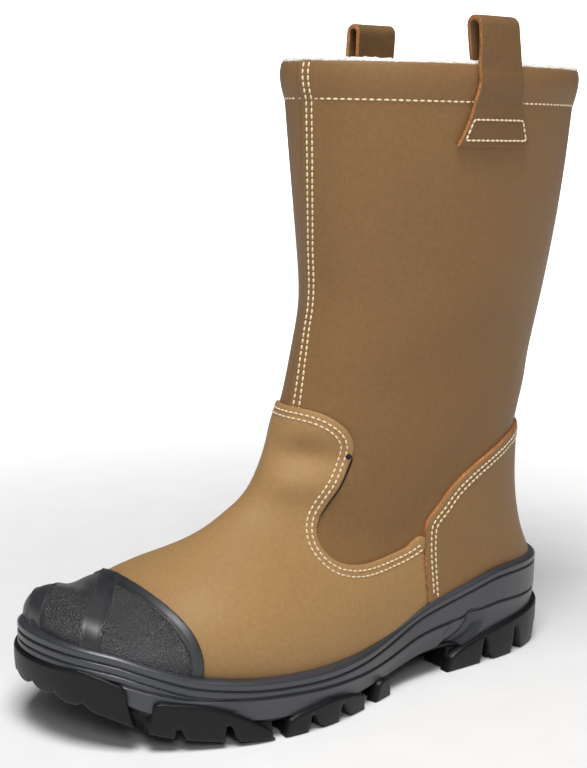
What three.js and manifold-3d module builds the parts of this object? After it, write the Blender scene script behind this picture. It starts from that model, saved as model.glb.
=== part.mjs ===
// A pull-on safety boot for the left foot, built as its maker builds it: a lasted leather upper with
// a vamp, a heel counter and a scuff cap laid over it, an insole inside, a poured midsole that cups
// the upper, and a lugged rubber outsole with side panels. Two leather straps make the pull loops.
// Millimetres, +Z up. The toe points along -Y and +X is the outer side of the foot.
// While it is built, y = 0 is the back of the sole and x = 0 the middle of the leg. At the end the
// whole boot is moved so that the origin is under the middle of its box.

import * as THREE from "three";
import { mergeVertices } from "three/addons/utils/BufferGeometryUtils.js";
import Module from "manifold-3d";

const wasm = await Module();
wasm.setup();

// Driving sizes

const soleLength = 306;
const ballWidth = 104; // the upper across the joints of the toes
const heelWidth = 76; // the upper across the heel
const footHeight = 110; // floor to the instep
const collarHeight = 315; // floor to the collar's edge
const collarLength = 174; // collar, front to back
const collarWidth = 108; // collar, side to side
const legSetBack = 78; // back of the sole to the middle of the leg
const toeShift = 14; // how far the toe's tip lies towards the inner side

const gap = 0.3; // between pieces that touch
const wall = 2.6; // the upper: leather and its backing
const leather = 1.8; // vamp and counter
const cuffDepth = 17; // collar's edge to the stitches that hold the turned-in edge
const cuffSwell = 1.2; // how far the padded cuff stands out
const lapWidth = 14; // lapped seams down the front and back of the leg
const lapStep = 1;

const capThickness = 2.2;
const capBandWidth = 8; // smooth bands that run up the cap
const capBandStep = 0.4;
// Each band follows a line seen from above: its ends as shares of the sole's length.
const capBands = [
  { fromX: -0.047, fromY: 0.854, toX: 0.075, toY: 0.944 },
  { fromX: -0.123, fromY: 0.912, toX: -0.034, toY: 0.988 },
];

const strapThickness = 2.6;
const strapTopWidth = 25;
const strapFootWidth = 46;
const strapFlareAhead = 0.12; // share of the flare by which it leans to the toe
const strapRise = 23; // collar's edge to the top of the loop
const strapDrop = 39; // collar's edge to the sewn end, outside
const strapTuck = 26; // collar's edge to the hidden end, inside
const strapSetBack = 79; // back of the sole to the middle of the straps
const strapLean = 8; // how far the outer strap leans forward at its top

const lipWidth = 4.2; // midsole's edge beyond the leather
const lipHeight = 10; // midsole's edge above the bed that the upper stands on
const lipBand = 4.4; // height of the rolled edge
const heelBed = 41; // floor to the bed under the heel
const ballBed = 18; // floor to the bed under the ball
const toeRise = 27; // rise of the bed from the ball to the toe
const toeSpring = 22; // rise of the tread from the floor to the toe
const archRise = 5; // rise of the tread under the arch
const insoleThickness = 4;
const insoleEnd = 0.94; // share of soleLength

const lugDepth = 7.5;
const heelLugDepth = 9;
const plateThickness = 3; // rubber over the lugs
const panelStand = 1.8; // how far the rubber side panels stand out of the midsole
const lugTaper = 0.4; // how far the lugs' outer faces lean in
const channelWidth = 5; // grooves that run along the tread

// Mesh density
const aroundUpper = 26;
const ringsPerRow = 1;
const alongSole = 22;

// Materials
const finish = (color, roughness) => new THREE.MeshStandardMaterial({ color, roughness, metalness: 0 });
const tanLeather = finish(0x9a7145, 0.55);
const cutLeather = finish(0xa8753f, 0.65);
const blackRubber = finish(0x2a2b2e, 0.6);
const greyFoam = finish(0x45474b, 0.55);
const sockBoard = finish(0x5a544c, 0.9);

// Curves through tables

// A smooth curve through stops of { at, value }, straight past its ends.
function track(stops) {
  const slope = stops.map((stop, i) => {
    const before = stops[Math.max(i - 1, 0)];
    const after = stops[Math.min(i + 1, stops.length - 1)];
    return (after.value - before.value) / (after.at - before.at);
  });
  return (at) => {
    let i = stops.findIndex((stop) => stop.at > at) - 1;
    if (i === -2) i = stops.length - 1;
    if (i < 0) return stops[0].value + slope[0] * (at - stops[0].at);
    if (i === stops.length - 1) return stops[i].value + slope[i] * (at - stops[i].at);
    const span = stops[i + 1].at - stops[i].at;
    const u = (at - stops[i].at) / span;
    const rise = stops[i + 1].value - stops[i].value;
    const bend = (1 - u) * (slope[i] * span - rise) - u * (slope[i + 1] * span - rise);
    return stops[i].value + u * rise + u * (1 - u) * bend;
  };
}

// The last

// Sections fan round the instep, from the level collar to the upright toe. Each row gives the front
// point and the back (or under) point of one section as shares. In legRows, front and back are
// shares of collarLength from the middle of the leg, the heights are shares of the rise from
// footHeight to collarHeight, and the half-widths are shares of collarWidth. In footRows, front and
// back are shares of soleLength from its back, the heights are shares of footHeight, and the
// half-widths are shares of a width that goes from heelWidth to ballWidth as ball goes from 0 to 1.
// Middle is a share of toeShift, wide is where the widest point lies from back to front, and the
// rounds are the exponents of the curves before and behind it. A roundness of 2 is an ellipse.
const legRows = [
  { front: 0.5, frontUp: 1, back: -0.5, backUp: 1, cuff: 0, outer: 0.5, inner: 0.5, wide: 0.5, round: 2.1 },
  { front: 0.491, frontUp: 1, back: -0.489, backUp: 1, cuff: 1, outer: 0.492, inner: 0.492, wide: 0.5, round: 2.1 },
  { front: 0.471, frontUp: 0.74, back: -0.475, backUp: 0.72, cuff: 0, outer: 0.456, inner: 0.456, wide: 0.5, round: 2.1 },
  { front: 0.449, frontUp: 0.556, back: -0.443, backUp: 0.512, cuff: 0, outer: 0.41, inner: 0.41, wide: 0.5, round: 2.1 },
  { front: 0.44, frontUp: 0.42, back: -0.4, backUp: 0.302, cuff: 0, outer: 0.375, inner: 0.372, wide: 0.5, round: 2.1 },
  { front: 0.471, frontUp: 0.298, back: -0.362, backUp: 0.132, cuff: 0, outer: 0.353, inner: 0.345, wide: 0.49, round: 2.1 },
];
const footRows = [
  { front: 0.544, frontUp: 1.327, back: 0.065, backUp: 0.98, outer: 0.49, inner: 0.47, ball: 0, middle: 0, wide: 0.46, roundF: 2.1, roundB: 2.15 },
  { front: 0.572, frontUp: 1.1, back: 0.059, backUp: 0.745, outer: 0.472, inner: 0.445, ball: 0, middle: 0, wide: 0.42, roundF: 2.1, roundB: 2.2 },
  { front: 0.598, frontUp: 0.96, back: 0.042, backUp: 0.545, outer: 0.466, inner: 0.435, ball: 0, middle: 0, wide: 0.37, roundF: 2.1, roundB: 2.3 },
  { front: 0.625, frontUp: 0.886, back: 0.025, backUp: 0.41, outer: 0.464, inner: 0.428, ball: 0, middle: 0, wide: 0.34, roundF: 2.1, roundB: 2.6 },
  { front: 0.648, frontUp: 0.845, back: 0.078, backUp: 0.3, outer: 0.472, inner: 0.414, ball: 0, middle: 0, wide: 0.33, roundF: 2.1, roundB: 3 },
  { front: 0.672, frontUp: 0.804, back: 0.229, backUp: 0.27, outer: 0.438, inner: 0.338, ball: 0.4, middle: 0, wide: 0.3, roundF: 2.1, roundB: 3.4 },
  { front: 0.702, frontUp: 0.76, back: 0.392, backUp: 0.155, outer: 0.463, inner: 0.31, ball: 0.8, middle: 0, wide: 0.3, roundF: 2.15, roundB: 3.8 },
  { front: 0.739, frontUp: 0.716, back: 0.539, backUp: 0.114, outer: 0.519, inner: 0.37, ball: 1, middle: 0, wide: 0.3, roundF: 2.2, roundB: 4 },
  { front: 0.781, frontUp: 0.668, back: 0.667, backUp: 0.127, outer: 0.524, inner: 0.471, ball: 1, middle: 0, wide: 0.31, roundF: 2.3, roundB: 4 },
  { front: 0.827, frontUp: 0.606, back: 0.765, backUp: 0.15, outer: 0.478, inner: 0.478, ball: 1, middle: 0.16, wide: 0.33, roundF: 2.4, roundB: 4 },
  { front: 0.868, frontUp: 0.532, back: 0.843, backUp: 0.191, outer: 0.435, inner: 0.425, ball: 1, middle: 0.45, wide: 0.35, roundF: 2.7, roundB: 3.8 },
  { front: 0.905, frontUp: 0.522, back: 0.899, backUp: 0.236, outer: 0.38, inner: 0.348, ball: 1, middle: 0.64, wide: 0.38, roundF: 3.1, roundB: 3.4 },
  { front: 0.938, frontUp: 0.531, back: 0.938, backUp: 0.291, outer: 0.303, inner: 0.262, ball: 1, middle: 0.82, wide: 0.42, roundF: 3.2, roundB: 2.8 },
  { front: 0.96, frontUp: 0.513, back: 0.959, backUp: 0.345, outer: 0.192, inner: 0.165, ball: 1, middle: 0.93, wide: 0.46, roundF: 2.9, roundB: 2.3 },
  { front: 0.967, frontUp: 0.47, back: 0.967, backUp: 0.375, outer: 0.08, inner: 0.065, ball: 1, middle: 0.96, wide: 0.5, roundF: 2, roundB: 2 },
];

const legSection = (row) => ({
  frontY: -(legSetBack + row.front * collarLength),
  frontZ: footHeight + row.frontUp * (collarHeight - footHeight) - row.cuff * cuffDepth,
  backY: -(legSetBack + row.back * collarLength),
  backZ: footHeight + row.backUp * (collarHeight - footHeight) - row.cuff * cuffDepth,
  outer: row.outer * collarWidth,
  inner: row.inner * collarWidth,
  middle: 0,
  wide: row.wide,
  roundF: row.round,
  roundB: row.round,
});

const footSection = (row) => {
  const width = heelWidth + row.ball * (ballWidth - heelWidth);
  return {
    frontY: -row.front * soleLength,
    frontZ: row.frontUp * footHeight,
    backY: -row.back * soleLength,
    backZ: row.backUp * footHeight,
    outer: row.outer * width,
    inner: row.inner * width,
    middle: -row.middle * toeShift,
    wide: row.wide,
    roundF: row.roundF,
    roundB: row.roundB,
  };
};

const sections = [...legRows.map(legSection), ...footRows.map(footSection)];
const lastEnd = sections.length - 1;
const lastLine = {};
for (const name of Object.keys(sections[0])) {
  lastLine[name] = track(sections.map((section, at) => ({ at, value: section[name] })));
}

// A point of the last: t counts sections from the collar, and turn goes round one of them from its
// front by the outer side to its back.
function lastPoint(t, turn) {
  const ahead = Math.cos(turn);
  const aside = Math.sin(turn);
  const round = ahead > 0 ? lastLine.roundF(t) : lastLine.roundB(t);
  const reach = (Math.abs(ahead) ** round + Math.abs(aside) ** round) ** (-1 / round);
  const wide = lastLine.wide(t);
  const u = wide + (ahead > 0 ? 1 - wide : wide) * ahead * reach;
  const half = aside > 0 ? lastLine.outer(t) : lastLine.inner(t);
  return new THREE.Vector3(
    lastLine.middle(t) + half * aside * reach,
    THREE.MathUtils.lerp(lastLine.backY(t), lastLine.frontY(t), u),
    THREE.MathUtils.lerp(lastLine.backZ(t), lastLine.frontZ(t), u),
  );
}

// The padded cuff is a swelling between the collar's edge and its stitches, one section lower.
const swell = (t) => (t < 1 ? cuffSwell * Math.sin(Math.PI * Math.max(t, 0)) ** 0.7 : 0);

// A point at a distance outside the last. The collar's edge stays level.
function skinPoint(t, turn, out, collarRise) {
  const step = 0.01;
  const across = lastPoint(t, turn + step).sub(lastPoint(t, turn - step));
  const down = lastPoint(Math.min(t + step, lastEnd), turn).sub(lastPoint(t - step, turn));
  const normal = down.cross(across).normalize();
  const point = lastPoint(t, turn).addScaledVector(normal, out + swell(t));
  if (t === 0) point.z = collarHeight + collarRise;
  return point;
}

// Solids

function solid(points, faces) {
  const geometry = new THREE.BufferGeometry().setFromPoints(points).setIndex(faces);
  const merged = mergeVertices(geometry, 1e-4);
  const vertProperties = merged.getAttribute("position").array;
  const corners = merged.index.array;
  const at = (i) => new THREE.Vector3().fromArray(vertProperties, 3 * corners[i]);
  let volume = 0;
  const triVerts = [];
  for (let i = 0; i < corners.length; i += 3) {
    volume += at(i).dot(at(i + 1).cross(at(i + 2)));
    triVerts.push(corners[i], corners[i + 1], corners[i + 2]);
  }
  if (volume < 0) triVerts.reverse();
  return new wasm.Manifold(
    new wasm.Mesh({ numProp: 3, vertProperties, triVerts: new Uint32Array(triVerts) }),
  );
}

// The faces of a tube of rings that each have the same number of points.
function tubeFaces(rings, count) {
  const faces = [];
  for (let ring = 0; ring < rings - 1; ring += 1) {
    for (let i = 0; i < count; i += 1) {
      const a = ring * count + i;
      const b = ring * count + ((i + 1) % count);
      faces.push(a, b, a + count, b, b + count, a + count);
    }
  }
  return faces;
}

// A tube of rings closed by a fan at each end.
function ringSolid(rings) {
  const count = rings[0].length;
  const points = rings.flat();
  const faces = tubeFaces(rings.length, count);
  const middleOf = (ring) => {
    const sum = ring.reduce((total, point) => total.add(point), new THREE.Vector3());
    return sum.divideScalar(count);
  };
  const first = points.push(middleOf(rings[0])) - 1;
  const last = points.push(middleOf(rings[rings.length - 1])) - 1;
  const start = (rings.length - 1) * count;
  for (let i = 0; i < count; i += 1) {
    const next = (i + 1) % count;
    faces.push(first, next, i);
    faces.push(last, start + i, start + next);
  }
  return solid(points, faces);
}

// A solid between two levels, from an outline of { u, v } that place puts in the boot.
function prism(outline, place, from, to) {
  const plan = outline.map(({ u, v }) => new THREE.Vector2(u, v));
  if (THREE.ShapeUtils.area(plan) < 0) plan.reverse();
  const rings = [from, to].map((level) => plan.map((point) => place(point.x, point.y, level)));
  const faces = tubeFaces(2, plan.length);
  for (const [a, b, c] of THREE.ShapeUtils.triangulateShape(plan, [])) {
    faces.push(a, c, b, a + plan.length, b + plan.length, c + plan.length);
  }
  return solid(rings.flat(), faces);
}

// Right across the boot, from an outline seen from its side, and upright, from one seen from above.
const sideCut = (outline) => prism(outline, (y, z, x) => new THREE.Vector3(x, y, z), -ballWidth, ballWidth);
const topCut = (outline, from, to) => prism(outline, (x, y, z) => new THREE.Vector3(x, y, z), from, to);
const strip = (x, width, from, to) => [
  { u: x - width / 2, v: from },
  { u: x + width / 2, v: from },
  { u: x + width / 2, v: to },
  { u: x - width / 2, v: to },
];

// A strip of one width along a slanted line, run on by half the line's length past both ends.
function slantStrip(from, to, width) {
  const run = new THREE.Vector2().subVectors(to, from);
  const aside = new THREE.Vector2(-run.y, run.x).setLength(width / 2);
  const corners = [
    { along: -0.5, side: -1 },
    { along: 1.5, side: -1 },
    { along: 1.5, side: 1 },
    { along: -0.5, side: 1 },
  ];
  return corners.map((corner) => {
    const point = from.clone().addScaledVector(run, corner.along).addScaledVector(aside, corner.side);
    return { u: point.x, v: point.y };
  });
}

function piece(name, form, material) {
  const mesh = form.getMesh();
  const geometry = new THREE.BufferGeometry();
  geometry.setAttribute("position", new THREE.BufferAttribute(mesh.vertProperties, mesh.numProp));
  geometry.setIndex(new THREE.BufferAttribute(mesh.triVerts, 1));
  const made = new THREE.Mesh(geometry, material);
  made.name = name;
  return made;
}

// The closed form of the last at a distance outside (or, negative, inside) it.
function form(out, collarRise = 0) {
  const rings = [];
  const ringCount = Math.round(lastEnd * ringsPerRow);
  const cuffRings = [0, 0.12, 0.5, 0.88, 1];
  const downRings = Array.from({ length: ringCount }, (_, i) => 1 + ((lastEnd - 1) * (i + 1)) / ringCount);
  for (const t of [...cuffRings, ...downRings]) {
    const ring = [];
    for (let i = 0; i < aroundUpper; i += 1) {
      ring.push(skinPoint(t, (2 * Math.PI * i) / aroundUpper, out, collarRise));
    }
    rings.push(ring);
  }
  return ringSolid(rings);
}

const overlay = leather + gap; // outside of the vamp and the counter, from the upper

// Sole

// The edge where the upper meets the sole, as shares of soleLength from its back and half-widths as
// shares of heelWidth and ballWidth, with ball the part that follows ballWidth.
const featherRows = [
  { along: 0.021, outer: 0, inner: 0, ball: 0, middle: 0 },
  { along: 0.03, outer: 0.16, inner: 0.16, ball: 0, middle: 0 },
  { along: 0.05, outer: 0.272, inner: 0.27, ball: 0, middle: 0 },
  { along: 0.09, outer: 0.378, inner: 0.365, ball: 0, middle: 0 },
  { along: 0.147, outer: 0.442, inner: 0.416, ball: 0, middle: 0 },
  { along: 0.22, outer: 0.461, inner: 0.426, ball: 0, middle: 0 },
  { along: 0.31, outer: 0.476, inner: 0.4, ball: 0, middle: 0 },
  { along: 0.409, outer: 0.453, inner: 0.324, ball: 0.4, middle: 0 },
  { along: 0.507, outer: 0.495, inner: 0.31, ball: 0.8, middle: 0 },
  { along: 0.588, outer: 0.527, inner: 0.36, ball: 1, middle: 0 },
  { along: 0.66, outer: 0.534, inner: 0.43, ball: 1, middle: 0 },
  { along: 0.725, outer: 0.515, inner: 0.476, ball: 1, middle: 0 },
  { along: 0.8, outer: 0.463, inner: 0.481, ball: 1, middle: 0.14 },
  { along: 0.866, outer: 0.414, inner: 0.418, ball: 1, middle: 0.43 },
  { along: 0.915, outer: 0.35, inner: 0.302, ball: 1, middle: 0.71 },
  { along: 0.951, outer: 0.255, inner: 0.19, ball: 1, middle: 0.89 },
  { along: 0.968, outer: 0.145, inner: 0.115, ball: 1, middle: 0.97 },
  { along: 0.976, outer: 0, inner: 0, ball: 1, middle: 1 },
];

// Heights along the sole, in shares: spring of toeSpring for the ground side, rise of toeRise and
// lift of heelBed over ballBed for the bed, arch of archRise, and heel of the change from lugDepth
// to heelLugDepth.
const heightRows = [
  { along: 0, spring: 0, rise: 0, lift: 0.93, arch: 0, heel: 1 },
  { along: 0.1, spring: 0, rise: 0, lift: 1, arch: 0, heel: 1 },
  { along: 0.17, spring: 0, rise: 0, lift: 0.99, arch: 0, heel: 1 },
  { along: 0.24, spring: 0, rise: 0, lift: 0.8, arch: 0.1, heel: 1 },
  { along: 0.29, spring: 0, rise: 0, lift: 0.66, arch: 0.8, heel: 0.9 },
  { along: 0.35, spring: 0, rise: 0, lift: 0.49, arch: 1, heel: 0.4 },
  { along: 0.425, spring: 0, rise: 0, lift: 0.17, arch: 0.3, heel: 0 },
  { along: 0.5, spring: 0, rise: 0, lift: 0.02, arch: 0, heel: 0 },
  { along: 0.56, spring: 0, rise: 0, lift: 0, arch: 0, heel: 0 },
  { along: 0.63, spring: 0, rise: 0.02, lift: 0, arch: 0, heel: 0 },
  { along: 0.7, spring: 0.05, rise: 0.07, lift: 0, arch: 0, heel: 0 },
  { along: 0.76, spring: 0.13, rise: 0.14, lift: 0, arch: 0, heel: 0 },
  { along: 0.82, spring: 0.24, rise: 0.26, lift: 0, arch: 0, heel: 0 },
  { along: 0.876, spring: 0.42, rise: 0.49, lift: 0, arch: 0, heel: 0 },
  { along: 0.92, spring: 0.7, rise: 0.68, lift: 0, arch: 0, heel: 0 },
  { along: 0.965, spring: 0.95, rise: 0.79, lift: 0, arch: 0, heel: 0 },
  { along: 1, spring: 1.1, rise: 0.85, lift: 0, arch: 0, heel: 0 },
];
const heightLine = {};
for (const name of ["spring", "rise", "lift", "arch", "heel"]) {
  heightLine[name] = track(heightRows.map((row) => ({ at: row.along, value: row[name] })));
}
const shareAt = (y) => THREE.MathUtils.clamp(-y / soleLength, 0, 1);
const groundAt = (y) => toeSpring * Math.max(heightLine.spring(shareAt(y)), 0);
const bedAt = (y) => {
  const share = shareAt(y);
  return ballBed + toeRise * heightLine.rise(share) + (heelBed - ballBed) * heightLine.lift(share);
};
const lipAt = (y) => bedAt(y) + lipHeight;
const treadAt = (y) => {
  const share = shareAt(y);
  const depth = THREE.MathUtils.lerp(lugDepth, heelLugDepth, heightLine.heel(share));
  return groundAt(y) + depth + archRise * heightLine.arch(share);
};
const plateAt = (y) => treadAt(y) + plateThickness;

// Stations lie closer at the heel's and the toe's ends. The outline's ends are round because the
// half-widths are curves of the angle whose cosine runs along the sole.
const featherStart = featherRows[0].along;
const featherSpan = featherRows[featherRows.length - 1].along - featherStart;
const angleOf = (share) => Math.acos(THREE.MathUtils.clamp(1 - (2 * (share - featherStart)) / featherSpan, -1, 1));
const featherSide = (side) => {
  const stops = featherRows.map((row) => {
    const width = heelWidth + row.ball * (ballWidth - heelWidth);
    return { at: angleOf(row.along), value: row[side] * width };
  });
  return track(stops);
};
const featherOuter = featherSide("outer");
const featherInner = featherSide("inner");
const featherMiddle = track(featherRows.map((row) => ({ at: angleOf(row.along), value: -row.middle * toeShift })));

function featherPoint(angle, side) {
  const half = side > 0 ? featherOuter(angle) : -featherInner(angle);
  const share = featherStart + (featherSpan * (1 - Math.cos(angle))) / 2;
  return new THREE.Vector2(featherMiddle(angle) + half, -share * soleLength);
}

// One ring round the sole, a distance out from the feather edge, at a height that follows y.
function soleRing(out, heightAt) {
  const plan = [];
  for (let i = 0; i <= alongSole; i += 1) plan.push(featherPoint((Math.PI * i) / alongSole, 1));
  for (let i = alongSole - 1; i > 0; i -= 1) plan.push(featherPoint((Math.PI * i) / alongSole, -1));
  return plan.map((point, i) => {
    const before = plan[(i + plan.length - 1) % plan.length];
    const after = plan[(i + 1) % plan.length];
    const ahead = after.clone().sub(before).normalize();
    const x = point.x - ahead.y * out;
    const y = point.y + ahead.x * out;
    return new THREE.Vector3(x, y, heightAt(y));
  });
}

// A solid of rings round the sole, whose top and bottom are strips from side to side.
function soleForm(profile) {
  const rings = profile.map(({ out, heightAt }) => soleRing(out, heightAt));
  const count = rings[0].length;
  const faces = tubeFaces(rings.length, count);
  const top = (rings.length - 1) * count;
  for (let i = 0; i < alongSole; i += 1) {
    const here = (count - i) % count;
    const next = count - i - 1;
    faces.push(i, here, next, i, next, i + 1);
    faces.push(top + i, top + next, top + here, top + i, top + i + 1, top + next);
  }
  return solid(rings.flat(), faces);
}

const soleEdge = overlay + gap + lipWidth;
const lipGroove = 1.1;
const sideGroove = 1.2;

// Below the rolled edge, the side has a groove at a share of its height, and leans in to the plate.
function midsoleProfile(grow) {
  const side = (share) => (y) => THREE.MathUtils.lerp(lipAt(y) - lipBand, plateAt(y) + gap, share);
  const down = (drop) => (y) => lipAt(y) - drop;
  return [
    { out: soleEdge - 1.2 + grow, heightAt: (y) => plateAt(y) + gap - grow },
    { out: soleEdge - 0.4 + grow, heightAt: side(0.62) },
    { out: soleEdge - 0.2 + grow, heightAt: side(0.5) },
    { out: soleEdge - sideGroove + grow, heightAt: side(0.44) },
    { out: soleEdge + grow, heightAt: side(0.38) },
    { out: soleEdge - 0.2 + grow, heightAt: side(0.12) },
    { out: soleEdge - lipGroove + grow, heightAt: down(lipBand) },
    { out: soleEdge + grow, heightAt: down(lipBand - 1) },
    { out: soleEdge - 0.2 + grow, heightAt: down(1) },
    { out: soleEdge - 1.4 + grow, heightAt: down(0) },
  ];
}

const wideEdge = soleEdge + lipWidth;
const belowBed = (rise) =>
  soleForm([
    { out: wideEdge, heightAt: () => -footHeight },
    { out: wideEdge, heightAt: (y) => bedAt(y) + rise },
  ]);
const overLip = soleForm([
  { out: wideEdge, heightAt: (y) => lipAt(y) + gap },
  { out: wideEdge, heightAt: () => footHeight },
]);

// Where the boot's overlays end, seen from the side, as shares of soleLength and footHeight.
const vampTop = footHeight * 1.35;
const counterTop = footHeight * 1.18;
const vampEdge = [
  { along: 0.335, up: 0 },
  { along: 0.335, up: 0.685 },
  { along: 0.372, up: 0.645 },
  { along: 0.409, up: 0.625 },
  { along: 0.45, up: 0.612 },
  { along: 0.483, up: 0.618 },
  { along: 0.51, up: 0.64 },
  { along: 0.528, up: 0.68 },
  { along: 0.539, up: 0.742 },
  { along: 0.534, up: 0.823 },
  { along: 0.518, up: 0.895 },
  { along: 0.496, up: 0.985 },
  { along: 0.479, up: 1.09 },
  { along: 0.475, up: 1.16 },
  { along: 0.485, up: 1.23 },
  { along: 0.507, up: 1.286 },
  { along: 0.532, up: 1.318 },
  { along: 0.565, up: 1.33 },
  { along: 1.1, up: 1.33 },
  { along: 1.1, up: 0 },
];
const counterEdge = [
  { along: -0.1, up: 0 },
  { along: 0.332, up: 0 },
  { along: 0.332, up: 0.735 },
  { along: 0.322, up: 0.775 },
  { along: 0.302, up: 0.83 },
  { along: 0.28, up: 0.9 },
  { along: 0.25, up: 0.965 },
  { along: 0.21, up: 1.025 },
  { along: 0.165, up: 1.075 },
  { along: 0.12, up: 1.112 },
  { along: 0.06, up: 1.14 },
  { along: -0.1, up: 1.155 },
];
// The middle of the lapped seam down the front, seen from the front: heights as shares of the
// cuff's stitches, and millimetres to the outer side.
const lapRows = [
  { up: 1, side: 9.6 },
  { up: 0.9, side: 8 },
  { up: 0.75, side: 4.6 },
  { up: 0.62, side: 4 },
  { up: 0.5, side: 8 },
];
const capRear = [
  { along: 0.8, up: 0 },
  { along: 0.8, up: 0.28 },
  { along: 0.801, up: 0.4 },
  { along: 0.812, up: 0.52 },
  { along: 0.838, up: 0.64 },
  { along: 0.88, up: 0.8 },
  { along: 1.1, up: 0.9 },
  { along: 1.1, up: 0 },
];
const sidePoints = (rows) => rows.map(({ along, up }) => ({ u: -along * soleLength, v: up * footHeight }));

// A band that stands on the last, between two distances from it.
const shell = (from, to, collarRise = 0) => form(to, collarRise).subtract(form(from, collarRise + 1));

// Pieces

function upper() {
  const top = collarHeight - cuffDepth - gap;
  const frontOutline = [
    ...lapRows.map(({ up, side }) => ({ u: side - lapWidth / 2, v: up * top })),
    ...lapRows.toReversed().map(({ up, side }) => ({ u: side + lapWidth / 2, v: up * top })),
  ];
  const front = prism(frontOutline, (x, z, y) => new THREE.Vector3(x, y, z), -soleLength, -legSetBack);
  const back = topCut(strip(0, lapWidth, -legSetBack, soleLength), counterTop, top);
  const laps = front.add(back);
  const outside = form(0).add(form(lapStep).intersect(laps));
  return outside.subtract(form(-wall, collarHeight)).subtract(belowBed(gap));
}

function vamp() {
  return shell(gap, overlay).intersect(sideCut(sidePoints(vampEdge))).subtract(belowBed(gap));
}

function counter() {
  return shell(gap, overlay).intersect(sideCut(sidePoints(counterEdge))).subtract(belowBed(gap));
}

function toeCap() {
  const inside = overlay + gap;
  const bands = capBands.map((row) => {
    const from = new THREE.Vector2(row.fromX, -row.fromY).multiplyScalar(soleLength);
    const to = new THREE.Vector2(row.toX, -row.toY).multiplyScalar(soleLength);
    return topCut(slantStrip(from, to, capBandWidth), 0, footHeight);
  });
  return form(inside + capThickness)
    .add(form(inside + capThickness + capBandStep).intersect(bands[0].add(bands[1])))
    .subtract(form(inside))
    .intersect(sideCut(sidePoints(capRear)))
    .intersect(overLip);
}

function insole() {
  const slab = soleForm([
    { out: 0, heightAt: (y) => bedAt(y) + gap },
    { out: 0, heightAt: (y) => bedAt(y) + gap + insoleThickness },
  ]);
  const trimmed = topCut(strip(0, 2 * ballWidth, -insoleEnd * soleLength, 0), 0, footHeight);
  return slab.intersect(form(-wall - gap)).intersect(trimmed);
}

function midsole() {
  const cup = form(overlay + gap).subtract(belowBed(0));
  return soleForm(midsoleProfile(0)).subtract(cup);
}

// Rubber side panels, as seen from the side. Each starts and ends on the ground, and its top is a
// list of shares of soleLength and heights in millimetres over the floor.
const panelRise = lugDepth * 2;
const panels = [
  [
    { along: 1.1, up: 2.52 },
    { along: 0.965, up: 2.6 },
    { along: 0.918, up: 2.18 },
    { along: 0.912, up: -1 },
    { along: 1.1, up: -1 },
  ],
  [
    { along: 0.878, up: -1 },
    { along: 0.878, up: 1.64 },
    { along: 0.81, up: 1.47 },
    { along: 0.758, up: 1.08 },
    { along: 0.71, up: 0.5 },
    { along: 0.695, up: -1 },
  ],
  [
    { along: 0.672, up: -1 },
    { along: 0.668, up: 0.6 },
    { along: 0.635, up: 0.78 },
    { along: 0.59, up: 0.88 },
    { along: 0.545, up: 0.78 },
    { along: 0.51, up: 0.5 },
    { along: 0.506, up: -1 },
  ],
  [
    { along: 0.472, up: -1 },
    { along: 0.469, up: 0.55 },
    { along: 0.454, up: 0.72 },
    { along: 0.438, up: 0.55 },
    { along: 0.434, up: -1 },
  ],
  [
    { along: 0.288, up: -1 },
    { along: 0.285, up: 0.55 },
    { along: 0.25, up: 0.85 },
    { along: 0.155, up: 1.28 },
    { along: 0.06, up: 1.45 },
    { along: -0.1, up: 1.5 },
    { along: -0.1, up: -1 },
  ],
];
const panelPoints = (rows) => rows.map(({ along, up }) => ({ u: -along * soleLength, v: up * panelRise }));

// Lugs from toe to heel. From and to are shares of soleLength, and notch is the height of the slit
// behind the lug, in shares of panelRise.
const lugRows = [
  { from: 0.99, to: 0.955, notch: 0 },
  { from: 0.945, to: 0.912, notch: 0 },
  { from: 0.878, to: 0.846, notch: 0.85 },
  { from: 0.826, to: 0.772, notch: 0.85 },
  { from: 0.756, to: 0.695, notch: 0 },
  { from: 0.672, to: 0.628, notch: 0.62 },
  { from: 0.61, to: 0.563, notch: 0.62 },
  { from: 0.547, to: 0.506, notch: 0 },
  { from: 0.472, to: 0.434, notch: 0 },
  { from: 0.288, to: 0.205, notch: 1.05 },
  { from: 0.19, to: 0.125, notch: 1.1 },
  { from: 0.108, to: 0.04, notch: 1.1 },
  { from: 0.025, to: -0.05, notch: 0 },
];

function outsole() {
  const under = { out: soleEdge - lugTaper, heightAt: groundAt };
  const plate = soleForm([
    { out: soleEdge - 2.6, heightAt: treadAt },
    { out: soleEdge - 1.6, heightAt: plateAt },
  ]);
  const tread = soleForm([under, { out: soleEdge + panelStand, heightAt: (y) => plateAt(y) - 1 }]);
  const blocks = lugRows
    .map((row) => topCut(strip(0, 2 * ballWidth, -row.from * soleLength, -row.to * soleLength), -1, footHeight))
    .reduce((all, block) => all.add(block));
  const channels = [-1, 1]
    .map((side) => topCut(strip((side * ballWidth) / 5, channelWidth, soleLength, -2 * soleLength), -1, lugDepth))
    .reduce((all, channel) => all.add(channel));
  const lugs = tread.intersect(blocks).subtract(channels);
  const skirt = soleForm([
    under,
    { out: soleEdge + panelStand, heightAt: (y) => plateAt(y) - 1 },
    { out: soleEdge + panelStand, heightAt: (y) => lipAt(y) },
  ]);
  const core = soleForm([
    { out: soleEdge - 4, heightAt: () => -1 },
    { out: soleEdge - 4, heightAt: () => footHeight },
  ]);
  const openings = panels.map((rows) => sideCut(panelPoints(rows))).reduce((all, cut) => all.add(cut));
  const notches = lugRows
    .flatMap((row, i) => (row.notch > 0 ? [notchCut(-row.to, -lugRows[i + 1].from, row.notch)] : []))
    .reduce((all, notch) => all.add(notch));
  const side = skirt.intersect(openings.subtract(notches)).subtract(soleForm(midsoleProfile(gap))).subtract(core);
  return plate.add(lugs).add(side);
}

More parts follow.
